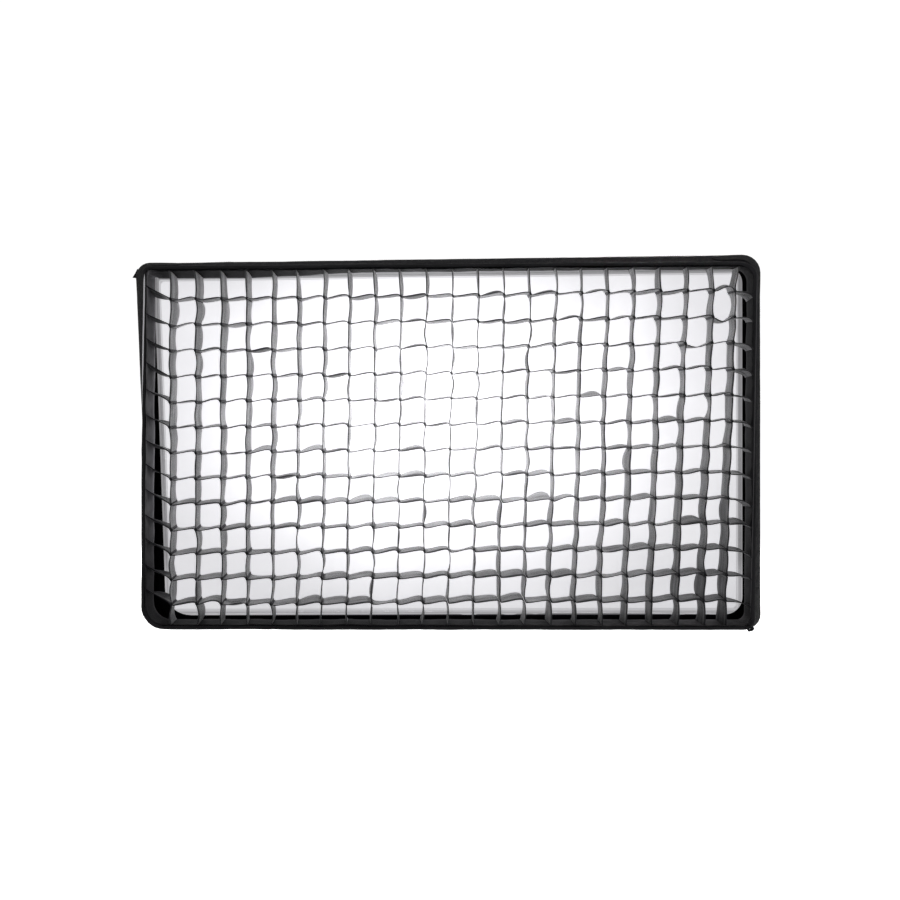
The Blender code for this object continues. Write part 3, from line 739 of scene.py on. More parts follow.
# Piping coloured to paint highlight lines down the hem: pale on the left, faint on the right.
PIPING_PAINTED_HIGHLIGHT = cloth("edge_piping", (0.60, 0.595, 0.62),
               roughness=0.5, thread=0.0011, bump=0.3, sheen=0.2, mottle=0.1, specular=0.5)
PIPING_FAINT_PAINTED_HIGHLIGHT = cloth("faint_painted_highlight_piping", (0.045, 0.044, 0.048),
                   roughness=0.5, thread=0.0011, bump=0.3, sheen=0.1, mottle=0.2, specular=0.3)
TAPE = cloth("hook_and_loop", (0.010, 0.010, 0.011),
             roughness=0.95, thread=0.0018, bump=1.0, sheen=0.35, mottle=0.4, specular=0.15)
ELASTIC = cloth("elastic", (0.012, 0.012, 0.013),
                roughness=0.8, thread=0.0016, bump=0.8, sheen=0.2, mottle=0.3, specular=0.25)
THREAD = cloth("sewing_thread", (0.020, 0.020, 0.022),
               roughness=0.5, thread=0.0005, bump=0.3, sheen=0.2, mottle=0.2, specular=0.5)
LEATHERETTE = cloth("leatherette", (0.008, 0.0077, 0.0085),
                    roughness=0.5, thread=0.0030, bump=0.5, sheen=0.015, mottle=0.3, specular=0.16)
BORDER = border_cloth()
SILVER = silver_lining()
GRID = grid_cloth()
# The diffuser and the inner baffle glow with painted light in place of the lamp inside.
DIFFUSER = painted_glow_cloth("diffuser_cloth", HALF_Z, centre=(-0.05, 0.06), spread=(0.27, 0.20),
                     peak=3.4, edge=0.76, border=0.0115, gain=1.75)
BAFFLE = painted_glow_cloth("baffle_cloth", BAFFLE_HALF[1], centre=(0.0, 0.0), spread=(0.20, 0.13),
                   peak=4.0, edge=1.0, border=0.010, gain=1.0)
STEEL = turned_metal("steel", (0.50, 0.50, 0.52), roughness=0.28, groove=0.0004)
CAD_FINISHES = {
    "machined_alloy": turned_metal("machined_alloy", (0.50, 0.50, 0.52), roughness=0.3, groove=0.0006),
    "cast_alloy": moulded("cast_alloy", (0.014, 0.014, 0.016), roughness=0.45, grain=1400.0,
                          metallic=0.2, bump=0.3),
    "steel": STEEL,
    "black_plastic": moulded("black_plastic", (0.014, 0.014, 0.015), roughness=0.42, grain=1800.0),
    "fibreglass": moulded("fibreglass", (0.045, 0.045, 0.05), roughness=0.35, grain=300.0, bump=0.06),
}
ROD_FOLLOWERS = {own: rod_follower(own) for own in ("ring", *(f"rod_{corner}" for corner in CORNERS))}


# Shell, collar and their seams.

SHELL_SAG = 0.017           # how far the middle of a panel is drawn in
SHELL_DRAPE = 0.0066        # its broad waves
SHELL_CREASE = 0.0034       # its creases near the rods
SHELL_GATHER = 0.0019       # and its gathers near the sewn ends
SHELL_STEPS = 54
WEBBING = 0.0012            # thickness of the shell's cloth and tapes
TAPE_WING = 0.009           # width of a seam tape beside the corner's arc


def shell_surface(t, off=0.0, along=ALONG, arc=ARC):
    """Stations round the shell level with the rods at t, with the cloth's sag and creases, off from it."""
    half_x, half_z, y = shell_half(t)
    free = math.sin(math.pi * min(1, t * 1.02))
    near_ends = math.exp(-(t - SHELL_START) * 9) + math.exp((t - 1) * 30)
    loose = min(1, 8 * (1 - t) + 0.2) * min(1, 8 * (t - SHELL_START) + 0.2)
    made = []
    # Each ripple below has its own stretch, wavelength and seed.
    for point, normal, side, s in outline(half_x, half_z, between(COLLAR_RADII, RIM_RADII, t), along, arc):
        slack = max(0, 1 - s * s) ** 0.8
        drape = ripple(s * 1.3 + side * 7, t * 0.9, 0, 0.30, 3.1)
        drape += 0.5 * ripple(s * 1.3 + side * 3, t, 0, 0.12, 5.3)
        gather = ripple(s * 2 + side * 5, t * 0.25, 0, 0.045, 1.7) * near_ends
        crease = ripple(s * 2.2 + side * 9, t * 0.5, 0, 0.13, 2.2) * abs(s) * slack ** 0.3
        waves = SHELL_DRAPE * drape * slack + SHELL_GATHER * gather + SHELL_CREASE * crease
        pull = SHELL_SAG * free * slack - waves * loose
        made.append((point - normal * (pull - off), normal, side, s))
    return made, max(y, RIM_Y)


def rows_of(surface, low, high, steps):
    """Rings of points on a surface, from low to high."""
    return [ring_at(*surface(low + (high - low) * i / steps)) for i in range(steps + 1)]


def shell():
    """Four sewn panels between the rods, drawn in a little where nothing holds them."""
    rows = rows_of(shell_surface, SHELL_START, 1, SHELL_STEPS)
    fabric("shell", net("shell", rows, wrap=True), [SHELL_CLOTH, SILVER],
           ["shell_top", "shell_bottom", "shell_left", "shell_right"], thickness=WEBBING, offset=1, inside=1)


def seam_tapes():
    """Binding sewn over the shell's four corner seams, from the collar to the rim."""
    end, drop = 0.995, 0.0006
    for corner, name in enumerate(CORNERS):
        rows = []
        for i in range(SHELL_STEPS + 1):
            t = SHELL_START + (end - SHELL_START) * i / SHELL_STEPS
            stations, y = shell_surface(t, WEBBING)
            arc = corner_arc(stations, corner)
            first, last = arc[0], arc[-1]
            row = [first[0] + quarter(0, -1, corner) * TAPE_WING - first[1] * drop]
            row += [station[0] for station in arc]
            row.append(last[0] + quarter(-1, 0, corner) * TAPE_WING - last[1] * drop)
            puff = 1 + 0.4 * ripple(t * 3, corner, 0, 0.06, 4.4)
            lift = (first[1] + last[1]) * 0.0004 * puff
            rows.append([at(point + lift, y) for point in row])
        fabric(f"seam_tape_{name}", net(f"seam_tape_{name}", rows), [BINDING],
               thickness=WEBBING, offset=1)


def collar():
    """Gathered sleeve between the speed ring and the shell, with its elastic hem."""
    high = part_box("rear_collar")[1]
    radius = high.z - 0.0010
    stations, y_front = shell_surface(SHELL_START, 0.0016)
    y_front -= 0.004
    steps, straight, hem_place = 16, 0.16, 0.06
    rows = []
    for i in range(steps + 1):
        share = i / steps
        blend = float(smooth(max(0, share - straight) / (1 - straight)))
        hem = 0.0022 * math.exp(-((share - hem_place) / 0.05) ** 2)
        row = []
        for k, (point, _, _, _) in enumerate(stations):
            away = point.normalized()
            gather = math.sin(k * math.pi / 2) * SHELL_GATHER * (1 - blend)
            gather += 0.0012 * ripple(k * 0.4, share, 0, 1, 3)
            place = (away * (radius + hem)).lerp(point, blend) + away * gather * (1 - share * 0.6)
            row.append(at(place, high.y + (y_front - high.y) * share))
        rows.append(row)
    fabric("rear_collar", net("rear_collar", rows, wrap=True), [NYLON],
           thickness=WEBBING, offset=1)


# Lip, hem and the cords and tapes sewn to them.

LIP_FRONT_Y = HEM_HIGH.y - 0.001
LIP_OUT = 0.0022                            # from the loop tape to the lip's cloth
HEM_IN = 0.0022                             # from the middle of the hem's CAD node inwards to its own middle
HEM_X = (HEM_HIGH.x + LIP_X) / 2 - HEM_IN
HEM_Z = (HEM_HIGH.z + LIP_Z) / 2 - HEM_IN
HEM_Y = (HEM_LOW.y + HEM_HIGH.y) / 2
HEM_OUT, HEM_FORWARD = 0.0036, 0.0038       # reach of the rolled hem outwards and forwards from its middle
HEM_WIDTHS = {1: 0.0052, -1: 0.0036}        # half widths of the hem's roll, on the right and elsewhere
RIM_CORD = 0.0021                           # radius of the cord in the rim's seam


def lip_surface(depth, off=0.0, along=ALONG, arc=ARC):
    """Stations round the lip, from its seam at the rim (depth 0) to the front hem (depth 1)."""
    y = RIM_Y + (LIP_FRONT_Y - RIM_Y) * depth
    lean = min(1.0, (RIM_Y - y) / (RIM_Y - THROAT_Y))
    inward = float(smooth(lean)) ** 0.9
    half_x = RIM_X + (LIP_X + LIP_OUT - RIM_X) * inward
    half_z = RIM_Z + (LIP_Z + LIP_OUT - RIM_Z) * inward
    middle = math.sin(math.pi * depth)
    made = []
    for point, normal, side, s in outline(half_x, half_z, between(RIM_RADII, FRONT_RADII, lean), along, arc):
        wave = 0.0040 * ripple(s * 1.2 + side * 5, y, 0, 0.20, 9.0) * (0.2 + middle)
        fold = 0.0022 * ripple(s * 0.7 + side * 5, y * 8, 0, 0.14, 4.0) * middle
        tuck = 0.0009 * ripple(s * 3 + side * 5, y * 0.5, 0, 0.045, 6.0)
        made.append((point + normal * ((wave + fold + tuck) * (1 - s ** 8) + off), normal, side, s))
    return made, y


def lip():
    """Black lip that leans in from the rim and runs forward to the hem."""
    fabric("lip", net("lip", rows_of(lip_surface, 0, 1, 26), wrap=True), [NYLON],
           ["lip_top", "lip_bottom", "lip_left", "lip_right"], thickness=0.0016, offset=1)


def cord(name, half_x, half_z, radii, y, section, wobble, seed):
    """A soft cord or hem round the softbox. section maps (angle, side) to its (outward, forward) reach."""
    rows = []
    for point, normal, side, _ in outline(half_x, half_z, radii, *FINE):
        drift = wobble * ripple(point.x, point.y, 0, 0.11, seed)
        puff = 1 + 0.16 * ripple(point.x, point.y, 0, 0.022, seed + 5)
        row = []
        for angle in turns(10):
            out, forward = section(angle, side)
            row.append(at(point + normal * (out * puff + drift), y - forward * puff + 0.5 * drift))
        rows.append(row)
    rows.append(rows[0])
    fabric(name, joined(net(name, rows, wrap=True)), [BINDING])


def hem():
    """Rolled binding round the front edge."""
    def section(angle, side):
        wide = HEM_WIDTHS[1 if side == 0 else -1]
        return wide * math.cos(angle) - (wide - HEM_OUT), HEM_FORWARD * math.sin(angle)

    cord("front_binding", HEM_X, HEM_Z, FRONT_RADII, HEM_Y, section, 0.0012, 2.0)


def rim_piping():
    """Cord sewn into the seam between the shell and the lip."""
    def section(angle, _):
        return RIM_CORD * math.cos(angle), RIM_CORD * math.sin(angle)

    cord("rim_piping", RIM_X + 0.0006, RIM_Z + 0.0006, RIM_RADII, RIM_Y, section, 0.0006, 6.0)


def edge_piping(name, sign, low_z, start, drift, taper, thick, material):
    """Thin cord sewn to the face of the hem on the right (sign 1) or the left, from the top down to low_z.

    start is how far out from the hem's middle it begins, and drift is how much further out it ends.
    """
    steps = 80
    high_z = LIP_Z - 0.010
    wide = HEM_WIDTHS[sign]
    rows = []
    for i in range(steps + 1):
        share = i / steps
        z = high_z - (high_z - low_z) * share
        out = start + drift * share ** 1.3 + 0.0002 * ripple(0, z, 0, 0.03, 3.0)
        radius = thick * (1 - taper * share ** 3) * math.sin(math.pi * min(1, 0.04 + 14 * share) / 2)
        across = max(-0.97, min(0.97, (out + wide - HEM_OUT) / wide))
        y = HEM_Y - HEM_FORWARD * math.sqrt(1 - across * across)
        rows.append([
            (sign * (HEM_X + out + radius * math.cos(turn)), y - 0.9 * radius * math.sin(turn), z)
            for turn in turns(8)
        ])
    fabric(name, joined(net(name, rows, wrap=True, capped=True)), [material])


def band(name, half_x, half_z, low, high, inset, material, replaces, body,
         thickness, wobble, seed, droop=0.0):
    """A strip of tape that runs round inside the lip, from depth low to high.

    inset squares its corners by that share. droop is how far its rear edge hangs down at the top left.
    """
    steps = 6
    rows = []
    for i in range(steps + 1):
        y = low + (high - low) * i / steps
        row = []
        for point, normal, side, s in outline(half_x, half_z, between(FRONT_RADII, SQUARE, inset), FINE[0]):
            out = wobble * ripple(point.x, y * 0.6, point.y, 0.045, seed) * (1 - s ** 6)
            if side == 1:
                out -= droop * (i / steps) ** 1.5 * float(smooth((-0.10 - point.x) / 0.35))
            row.append(at(point + normal * out, y))
        rows.append(row)
    fabric(name, net(name, rows, wrap=True), [material], replaces, body, thickness)


def diffuser_ledge():
    """Flat fabric ledge inside the rim that the diffuser sticks to."""
    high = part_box("diffuser_ledge")[1]
    outer, inner = 0.001, 0.026
    rows = []
    for share in (0.0, 0.3, 0.6, 1.0):
        half_x = high.x - outer + (HALF_X - inner - high.x) * share
        half_z = high.z - outer + (HALF_Z - inner - high.z) * share
        rows.append(ring_at(outline(half_x, half_z, LEDGE_RADII), middle_y("diffuser_ledge")))
    fabric("diffuser_ledge", net("diffuser_ledge", rows, wrap=True), [NYLON], thickness=0.0010)


def stitches(name, surface):
    """A line of lockstitches on a surface: short rounded threads with small gaps between them."""
    pitch, length, half_width = 0.0045, 0.0030, 0.00035
    stations, y = surface
    points, faces = [], []
    carried = 0.0
    for k, (a, normal, _, _) in enumerate(stations):
        b = stations[(k + 1) % len(stations)][0]
        span = (b - a).length
        while carried + length < span:
            heading = (b - a) / span
            low, high = a + heading * carried, a + heading * (carried + length)
            rows = []
            for place, rise in ((low, 0.0001), ((low + high) / 2, 0.0005), (high, 0.0001)):
                out = normal * rise
                rows.append([at(place + out, y - half_width), at(place + out * 1.6, y),
                             at(place + out, y + half_width)])
            add_net(points, faces, rows)
            carried += pitch
        carried = max(0.0, carried - span)
    fabric(name, mesh_of(name, points, faces), [THREAD])


# Corner pockets.

PATCH_SIZE = 0.058
PATCH_LIFT = 0.0026
# The pocket's outline along the rod, as (distance past the rod's tip, radius).
POCKET = (
    (-0.055, 0.0058), (-0.050, 0.0052), (-0.020, 0.0050), (0.000, 0.0052), (0.006, 0.0036), (0.009, 0.0004),
)


def corner_patch(surface, low, high, corner):
    """Rows of points of a patch that wraps round a corner, narrower at its first and last rows."""
    steps, tuck = 10, 0.0011
    rows = []
    for i in range(steps + 1):
        stations, y = surface(low + (high - low) * i / steps, PATCH_LIFT)
        reach = PATCH_SIZE * (1 - 0.35 * abs(centred(i, steps)) ** 3)
        arc = corner_arc(stations, corner)

        def wing(station, heading):
            shares = [(k + 1) / 6 for k in range(6)]
            return [station[0] + heading * reach * share - station[1] * tuck * share ** 2 for share in shares]

        row = wing(arc[0], quarter(0, -1, corner))[::-1] + [station[0] for station in arc]
        row += wing(arc[-1], quarter(-1, 0, corner))
        rows.append([at(point, y) for point in row])
    return rows


def rod_pocket(sx, sz):
    """Rows of points of the sleeve round a rod's tip."""
    tip = Vector((sx * ROD_TIP[0], ROD_TIP[1], sz * ROD_TIP[2]))
    hinge = Vector((sx * HINGE.x, HINGE.y, sz * HINGE.z))
    along = (tip - hinge).normalized()
    side = along.cross(Vector((0, 1, 0))).normalized()
    up = side.cross(along)
    rows = []
    for step, radius in POCKET:
        row = []
        for angle in turns(12):
            soft = radius * (1 + 0.12 * math.sin(3 * angle + step * 200))
            row.append(tuple(tip + along * step + (side * math.cos(angle) + up * math.sin(angle)) * soft))
        rows.append(row)
    return rows


def corner_pockets():
    """Reinforced corners: a patch over each corner of the rim and a pocket round the rod's tip."""
    for index, corner in enumerate(CORNERS):
        points, faces = [], []
        add_net(points, faces, corner_patch(shell_surface, 0.90, 0.996, index))
        add_net(points, faces, corner_patch(lip_surface, 0.02, 0.34, index))
        add_net(points, faces, rod_pocket(*SIGNS[corner]), wrap=True)
        if corner == "top_left":
            ear_of_fabric(points, faces)
        name = f"corner_pocket_{corner}"
        fabric(name, joined(mesh_of(name, points, faces)), [LEATHERETTE], (),
               f"rod_{corner}", 0.0006, 1)


def ear_of_fabric(points, faces):
    """Loose pointed end of the corner patch that sticks out at the top left corner of the rim."""
    root = Vector((-RIM_X + 0.004, RIM_Y + 0.004, RIM_Z - 0.020))
    thick = 0.0022
    edge = ((-0.004, 0, 0.012), (-0.010, -0.001, 0.001), (-0.0145, -0.002, -0.006), (-0.008, -0.001, -0.007),
            (-0.003, 0, -0.014), (0.004, 0, 0))
    first, count = len(points), len(edge)
    for layer in (0, thick):
        points += [tuple(root + Vector(p) + Vector((0, layer, 0))) for p in edge]
    for k in range(count - 1):
        faces.append((first + k, first + (k + 1) % count, first + count + (k + 1) % count, first + count + k))
    faces.append(tuple(range(first + count - 1, first - 1, -1)))
    faces.append(tuple(range(first + count, first + 2 * count)))


# Diffusers.

def stretched_sheet(name, half_x, half_z, corners, bulge, body, slot, material, replaces, count,
                    rise=0.0, drop=0.0, draw_in=0.0):
    """A white cloth with rounded corners, slightly domed, with a hem that is stuck or clipped down.

    corners holds the radius of each corner. rise and drop are how far the top and the bottom edge lie
    outside half_z.
    """
    columns, lines = count
    y = middle_y(name)
    rows, insets = [], []
    for r in range(lines + 1):
        t = centred(r, lines)
        row = []
        for c in range(columns + 1):
            u = centred(c, columns)
            x, z = u * half_x, t * half_z
            corner = corners[(0 if u > 0 else 1) if t > 0 else (3 if u > 0 else 2)]
            over = Vector((max(0, abs(x) - half_x + corner), max(0, abs(z) - half_z + corner)))
            if over.length > corner:
                over = over.normalized() * corner
                x = math.copysign(half_x - corner + over.x, x)
                z = math.copysign(half_z - corner + over.y, z)
            dome = bulge * (1 - u * u) * (1 - t * t)
            crease = 0.0018 * ripple(x, 0, z, 0.10, 2.0) * (1 - u ** 6) * (1 - t ** 6)
            pucker = 0.0015 * max(abs(u), abs(t)) ** 24 * ripple(x, 0, z, 0.030, 8.0)
            row.append((x, y - dome + crease + pucker, z + rise * (1 + t) / 2 - drop * (1 - t) / 2))
            insets.append(min(half_x - abs(u * half_x), half_z - abs(t * half_z)))
        rows.append(row)
    mesh = net(name, rows)
    write_values(mesh, "inset", insets)
    fabric(name, mesh, [material], replaces, body, thickness=0.0008, draw_in=draw_in)


def baffle_straps():
    """Elastic straps from the inner baffle's corners to the rods."""
    steps, overlap, half_width = 16, 0.012, 0.0055
    for corner, (sx, sz) in SIGNS.items():
        name = f"baffle_strap_{corner}"
        low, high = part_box(name)
        inner = Vector((sx * min(abs(low.x), abs(high.x)), sz * min(abs(low.z), abs(high.z))))
        outer = Vector((sx * max(abs(low.x), abs(high.x)), sz * max(abs(low.z), abs(high.z))))
        heading = (outer - inner).normalized()
        inner -= heading * overlap
        across = Vector((-heading.y, heading.x)) * half_width
        y = middle_y(name)
        rows = []
        for i in range(steps + 1):
            share = i / steps
            centre = inner.lerp(outer, share)
            slack = 0.0014 * math.sin(share * math.pi * 5) * (1 - share)
            narrow = 1 - 0.28 * math.sin(math.pi * share)
            rows.append([at(centre + across * narrow * k, y + slack) for k in (-1, -0.5, 0, 0.5, 1)])
        fabric(name, net(name, rows), [ELASTIC], (), "baffle", WEBBING, draw_in=0.040)


# Grid.

FLAT = Vector((0, 0))
SEAM_STEP = Vector((0.0010, -0.0021))       # half of the seam where two strips touch, as (x, z)
SEAM_GAP = 0.00078
SEGMENT_STEPS = 10
DEPTH_STEPS = 6
STRETCH = 1.0095, 1.0110                    # the inner cells hang a little wider than the outer ones
RACK = 0.0143, 0.0139                       # and lean with the grid's own skew, across and up
ODD_SHARE = 0.20                            # share of the strips that are twisted further than the rest

# How a strip leaves and reaches a crossing, as (x, z), along a row and down an upright.
LEAVING = {True: Vector((0.040, -0.005)), False: Vector((0.003, -0.034))}
ARRIVING = {True: Vector((0.012, -0.021)), False: Vector((0.001, -0.038))}

# Row pieces that sag instead of arching, by the crossing at their right end, in metres.
SAGGING = {(23, 2): -0.011, (22, 3): -0.009, (23, 1): 0.007, (3, 13): 0.005, (17, 9): 0.004}


def jitter(size):
    return Vector((RANDOM.uniform(-size, size), RANDOM.uniform(-size, size)))


def squared_place(i, j):
    return Vector((-HALF_X + CELL * i, HALF_Z - CELL * j))


def grid_crossings():
    """Where the strips cross, as (x, z) by column and row, in the places of a squared softbox."""
    inside = [(i, j) for i in range(1, COLUMNS) for j in range(1, ROWS)]
    hung = []
    for i, j in inside:
        x, z = squared_place(i, j)
        if i == COLUMNS - 1:
            x -= 0.008
        wave_x = 0.0016 * ripple(i * 0.31, j * 0.3, 0, 1.0, 5)
        wave_z = 0.0020 * ripple(i * 0.25, j * 0.41, 0, 1.0, 8)
        hung.append((STRETCH[0] * x + RACK[0] * z + wave_x + RANDOM.gauss(0, 0.0006), FRONT_Y,
                     STRETCH[1] * z + RACK[1] * x + wave_z + RANDOM.gauss(0, 0.0006)))
    hung = np.array(hung)
    squared = hung - out_of_true(hung)
    made = {key: Vector((point[0], point[2])) for key, point in zip(inside, squared)}
    for i in range(COLUMNS + 1):
        for j in range(ROWS + 1):
            made.setdefault((i, j), squared_place(i, j))
    for i in range(1, COLUMNS):
        for j, inner in ((0, 1), (ROWS, ROWS - 1)):
            made[i, j].x = made[i, inner].x
    for j in range(1, ROWS):
        for i, inner in ((0, 1), (COLUMNS, COLUMNS - 1)):
            made[i, j].y = made[inner, j].y
    return made


def hermite(a, b, tangent_a, tangent_b, s):
    s2, s3 = s * s, s * s * s
    return (
        a * (2 * s3 - 3 * s2 + 1) + tangent_a * (s3 - 2 * s2 + s)
        + b * (3 * s2 - 2 * s3) + tangent_b * (s3 - s2)
    )


def strip_start(i, j, crossings):
    """(front, back, heading) where a strip leaves the border at the left (i = 0) or at the top."""
    if i == 0:
        low = j / ROWS
        front = crossings[i, j] + Vector((0, 0.026 + 0.006 * low + RANDOM.uniform(-0.003, 0.003)))
        back = front + Vector((0, RANDOM.uniform(-0.016, -0.010) - 0.004 * low))
        return front, back, Vector((0.024, -0.020 - 0.01 * low))
    front = crossings[i, j] + Vector((RANDOM.uniform(-0.004, -0.001), 0))
    if i == COLUMNS - 1:
        front.x += 0.010
    return front, front + Vector((RANDOM.uniform(-0.004, 0.002), 0)), Vector((0.004, -0.024))


def strip_end(i, j, crossings):
    """(front, back, heading) where a strip meets the border at the right (i = COLUMNS) or at the bottom."""
    if i == COLUMNS:
        front = crossings[i, j] + Vector((0, RANDOM.uniform(-0.017, -0.009)))
        return front, front + Vector((0, RANDOM.uniform(-0.006, 0.004))), Vector((0.016, -0.040))
    front = crossings[i, j] + jitter(0.002)
    front.y = crossings[i, j].y
    return front, front + Vector((RANDOM.uniform(-0.003, 0.004), 0)), Vector((0.002, -0.026))


def back_lean(point):
    """The grid is a little twisted: low down, the strips' rear edges stand to the left of the front ones."""
    return Vector((-0.0056 * (HALF_Z - point.y) / (2 * HALF_Z), 0))


def free_length(start, end, along_row, sag):
    """A strip between two seams, each (front, back, heading). Only a row piece takes the given sag."""
    front, back, heading = start
    front_end, back_end, arrival = end
    twist = RANDOM.gauss(0.0011, 0.0024)
    if RANDOM.random() < ODD_SHARE:
        twist += RANDOM.uniform(-0.005, 0.008)
    if not along_row:
        twist *= 0.6
    cup = RANDOM.gauss(0, 0.0022 if along_row else 0.0015)
    if not along_row:
        sag = RANDOM.gauss(0, 0.0013)
    across = Vector((0, 1)) if along_row else Vector((1, 0))
    made = []
    for k in range(SEGMENT_STEPS):
        s = k / SEGMENT_STEPS
        belly = math.sin(math.pi * s)
        shift = across * (sag * belly ** 1.4)
        rear = hermite(back, back_end, heading * 0.8, arrival * 0.7, s) + shift + across * (twist * belly)
        seam = max(0.0, 1 - s * SEGMENT_STEPS)
        fore = hermite(front, front_end, heading, arrival, s) + shift
        made.append((fore, rear + back_lean(rear), seam, across * (cup * belly)))
    return made


def strip_path(i, j, crossings, leans, seams):
    """One strip, as a list of (front point, back point, seam share, bulge at half depth).

    It runs along a row, turns down into an upright at the crossing, then into the next row, and so on. The
    two strips that meet at a crossing touch along a short sloping seam.
    """
    along_row = i == 0
    start = strip_start(i, j, crossings)
    path = []
    while True:
        i, j = (i + 1, j) if along_row else (i, j + 1)
        at_border = i == COLUMNS or j == ROWS
        if at_border:
            end = strip_end(i, j, crossings)
        else:
            side = -SEAM_GAP if along_row else SEAM_GAP
            front = crossings[i, j] - seams[i, j] + Vector((side, side))
            end = front, front + leans[i, j], ARRIVING[along_row] * RANDOM.uniform(0.6, 1.3)
        path += free_length(start, end, along_row, SAGGING.get((i, j), 0.0))
        front, back, _ = end
        path.append((front, back + back_lean(back), 1.0, FLAT))
        if at_border:
            return path
        seam = seams[i, j]
        leave = front + seam * 2
        path.append((front + seam, back + seam + back_lean(back), 1.0, FLAT))
        path.append((leave, leave + leans[i, j] + back_lean(leave), 1.0, FLAT))
        along_row = not along_row
        start = leave, leave + leans[i, j], LEAVING[along_row] * RANDOM.uniform(0.7, 1.2)


def strip_paths():
    """Every strip of the grid, from the left and then from the top."""
    crossings = grid_crossings()
    leans = {key: jitter(0.0018) for key in crossings}
    seams = {key: SEAM_STEP * RANDOM.uniform(0.7, 1.35) for key in crossings}
    starts = [(0, j) for j in range(1, ROWS)] + [(i, 0) for i in range(1, COLUMNS)]
    return [strip_path(i, j, crossings, leans, seams) for i, j in starts]


def grid_lattice():
    """All the strips of the grid, sewn together into one piece."""
    points, faces, depths, seams, runs = [], [], [], [], []
    for path in strip_paths():
        run = RANDOM.uniform(0, 9)
        rows = []
        for front, back, seam, cup in path:
            row = []
            for k in range(DEPTH_STEPS + 1):
                share = k / DEPTH_STEPS
                middle = front.lerp(back, share) + cup * (4 * share * (1 - share))
                inset = 0.0014 * (1 - seam) * (2 * abs(share - 0.5)) ** 3
                row.append(at(middle, FRONT_Y + GRID_DEPTH * share + math.copysign(inset, 0.5 - share)))
                depths.append(share)
                seams.append(seam)
                runs.append(run)
            rows.append(row)
            run += 0.012 if seam < 1 else 0.9
        add_net(points, faces, rows)
    mesh = mesh_of("grid_dividers", points, faces)
    for name, values in (("depth", depths), ("seam", seams), ("run", runs)):
        write_values(mesh, name, values)
    fabric("grid_dividers", mesh, [GRID], (), "grid", 0.0015)


def pull_loop():
    """Crumpled ribbon loop that the grid is pulled off with, on a short tail from its bottom right corner."""
    y = middle_y("grid_pull_tab") + 0.0015
    root = Vector((HALF_X - 0.0065, 0.0065 - HALF_Z))       # on the corner of the grid's border
    centre = Vector((LIP_X - 0.006, -LIP_Z - 0.0015))
    reach = 0.0052, 0.0030
    half_width, tail_steps = 0.0042, 6
    loop = []
    for angle in turns(49, 49 / 24):
        crumple = 1 + 0.34 * math.sin(2.5 * angle + 0.6) + 0.20 * math.sin(5.5 * angle)
        place = centre + Vector((reach[0] * math.cos(angle) * crumple, reach[1] * math.sin(angle) * crumple))
        loop.append((place, y + 0.0024 * math.sin(1.5 * angle), half_width + 0.0014 * math.sin(5 * angle)))
    tail = []
    for i in range(tail_steps):
        share = i / tail_steps
        over_hem = 0.0050 * (1 - share) - 0.0045 * math.sin(math.pi * share)
        tail.append((root.lerp(loop[0][0], share), y + over_hem, half_width - 0.0012 * (1 - share)))
    rows = [
        [at(place + Vector((0, 0.0008 * k)), depth + spread * k) for k in (-1, -0.4, 0.4, 1)]
        for place, depth, spread in tail + loop
    ]
    fabric("grid_pull_tab", net("grid_pull_tab", rows), [BINDING], (), "grid", 0.0014)


# Hardware.

def button_springs():
    """Return springs round the buttons, drawn as wire coils."""
    wire, coils, per_turn = 0.00042, 5.5, 18
    count = int(coils * per_turn)
    for corner in CORNERS:
        name = f"button_spring_{corner}"
        low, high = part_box(name)
        centre = (low + high) / 2
        radius = (high.x - low.x) / 2 - 0.00045
        rows = []
        for i in range(count + 1):
            angle = 2 * math.pi * i / per_turn
            y = low.y + wire + (high.y - low.y - 2 * wire) * i / count
            away = Vector((math.cos(angle), 0, math.sin(angle)))
            rows.append([
                tuple(centre + away * (radius + wire * math.cos(turn))
                      + Vector((0, y - centre.y + wire * math.sin(turn), 0)))
                for turn in turns(7)
            ])
        made = piece(name, net(name, rows, wrap=True, capped=True), [STEEL])
        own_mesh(made)


def finish_cad_nodes():
    """Gives every CAD node that is still showing its material, softened edges and smooth round faces."""
    sharp = math.radians(40)
    round_shading = smooth_by_angle(sharp)
    slots = {entry["node"]: entry["material_slot"] for entry in frame["record"]["subparts"]}
    for name, node in frame["nodes"].items():
        if node.hide_render:
            continue
        node.data.materials.clear()
        node.data.materials.append(CAD_FINISHES[slots[name]])
        node.modifiers.new("shading", "NODES").node_group = round_shading
        bevel = node.modifiers.new("edges", "BEVEL")
        bevel.width = 0.0004
        bevel.segments = 2
        bevel.limit_method = "ANGLE"
        bevel.angle_limit = sharp
        bevel.harden_normals = True


# Stage.

FLOOR_HALF = 30
# Soft lights by name: place, the point they face, size in metres and power in watts.
LIGHTS = {
    "key": ((2.2, -2.4, 0.9), (0, 0, 0), 1.2, 18),
    "fill": ((-2.4, -1.9, 1.2), (0, 0, 0), 1.2, 6),
    "overhead": ((0.0, -1.5, 2.3), (0, 0, 0), 1.5, 16),
    "rear_left": ((-1.8, 3.1, 0.5), (0, 0.1, 0), 0.6, 80),
    "rear_high": ((1.0, 3.3, 1.2), (0, 0.1, 0), 0.7, 80),
}
LIGHTING, BACKDROP = 0.28, 1.05             # the white world's strength on the object and for the camera
CAMERA_PLACE = Vector((0.054, FRONT_Y - 2.0, 0.126))
CAMERA_AIM = Vector((-0.001, FRONT_Y, 0.001))


def place_facing(obj, place, aim):
    obj.location = place
    obj.rotation_euler = (Vector(aim) - Vector(place)).to_track_quat("-Z", "Y").to_euler()


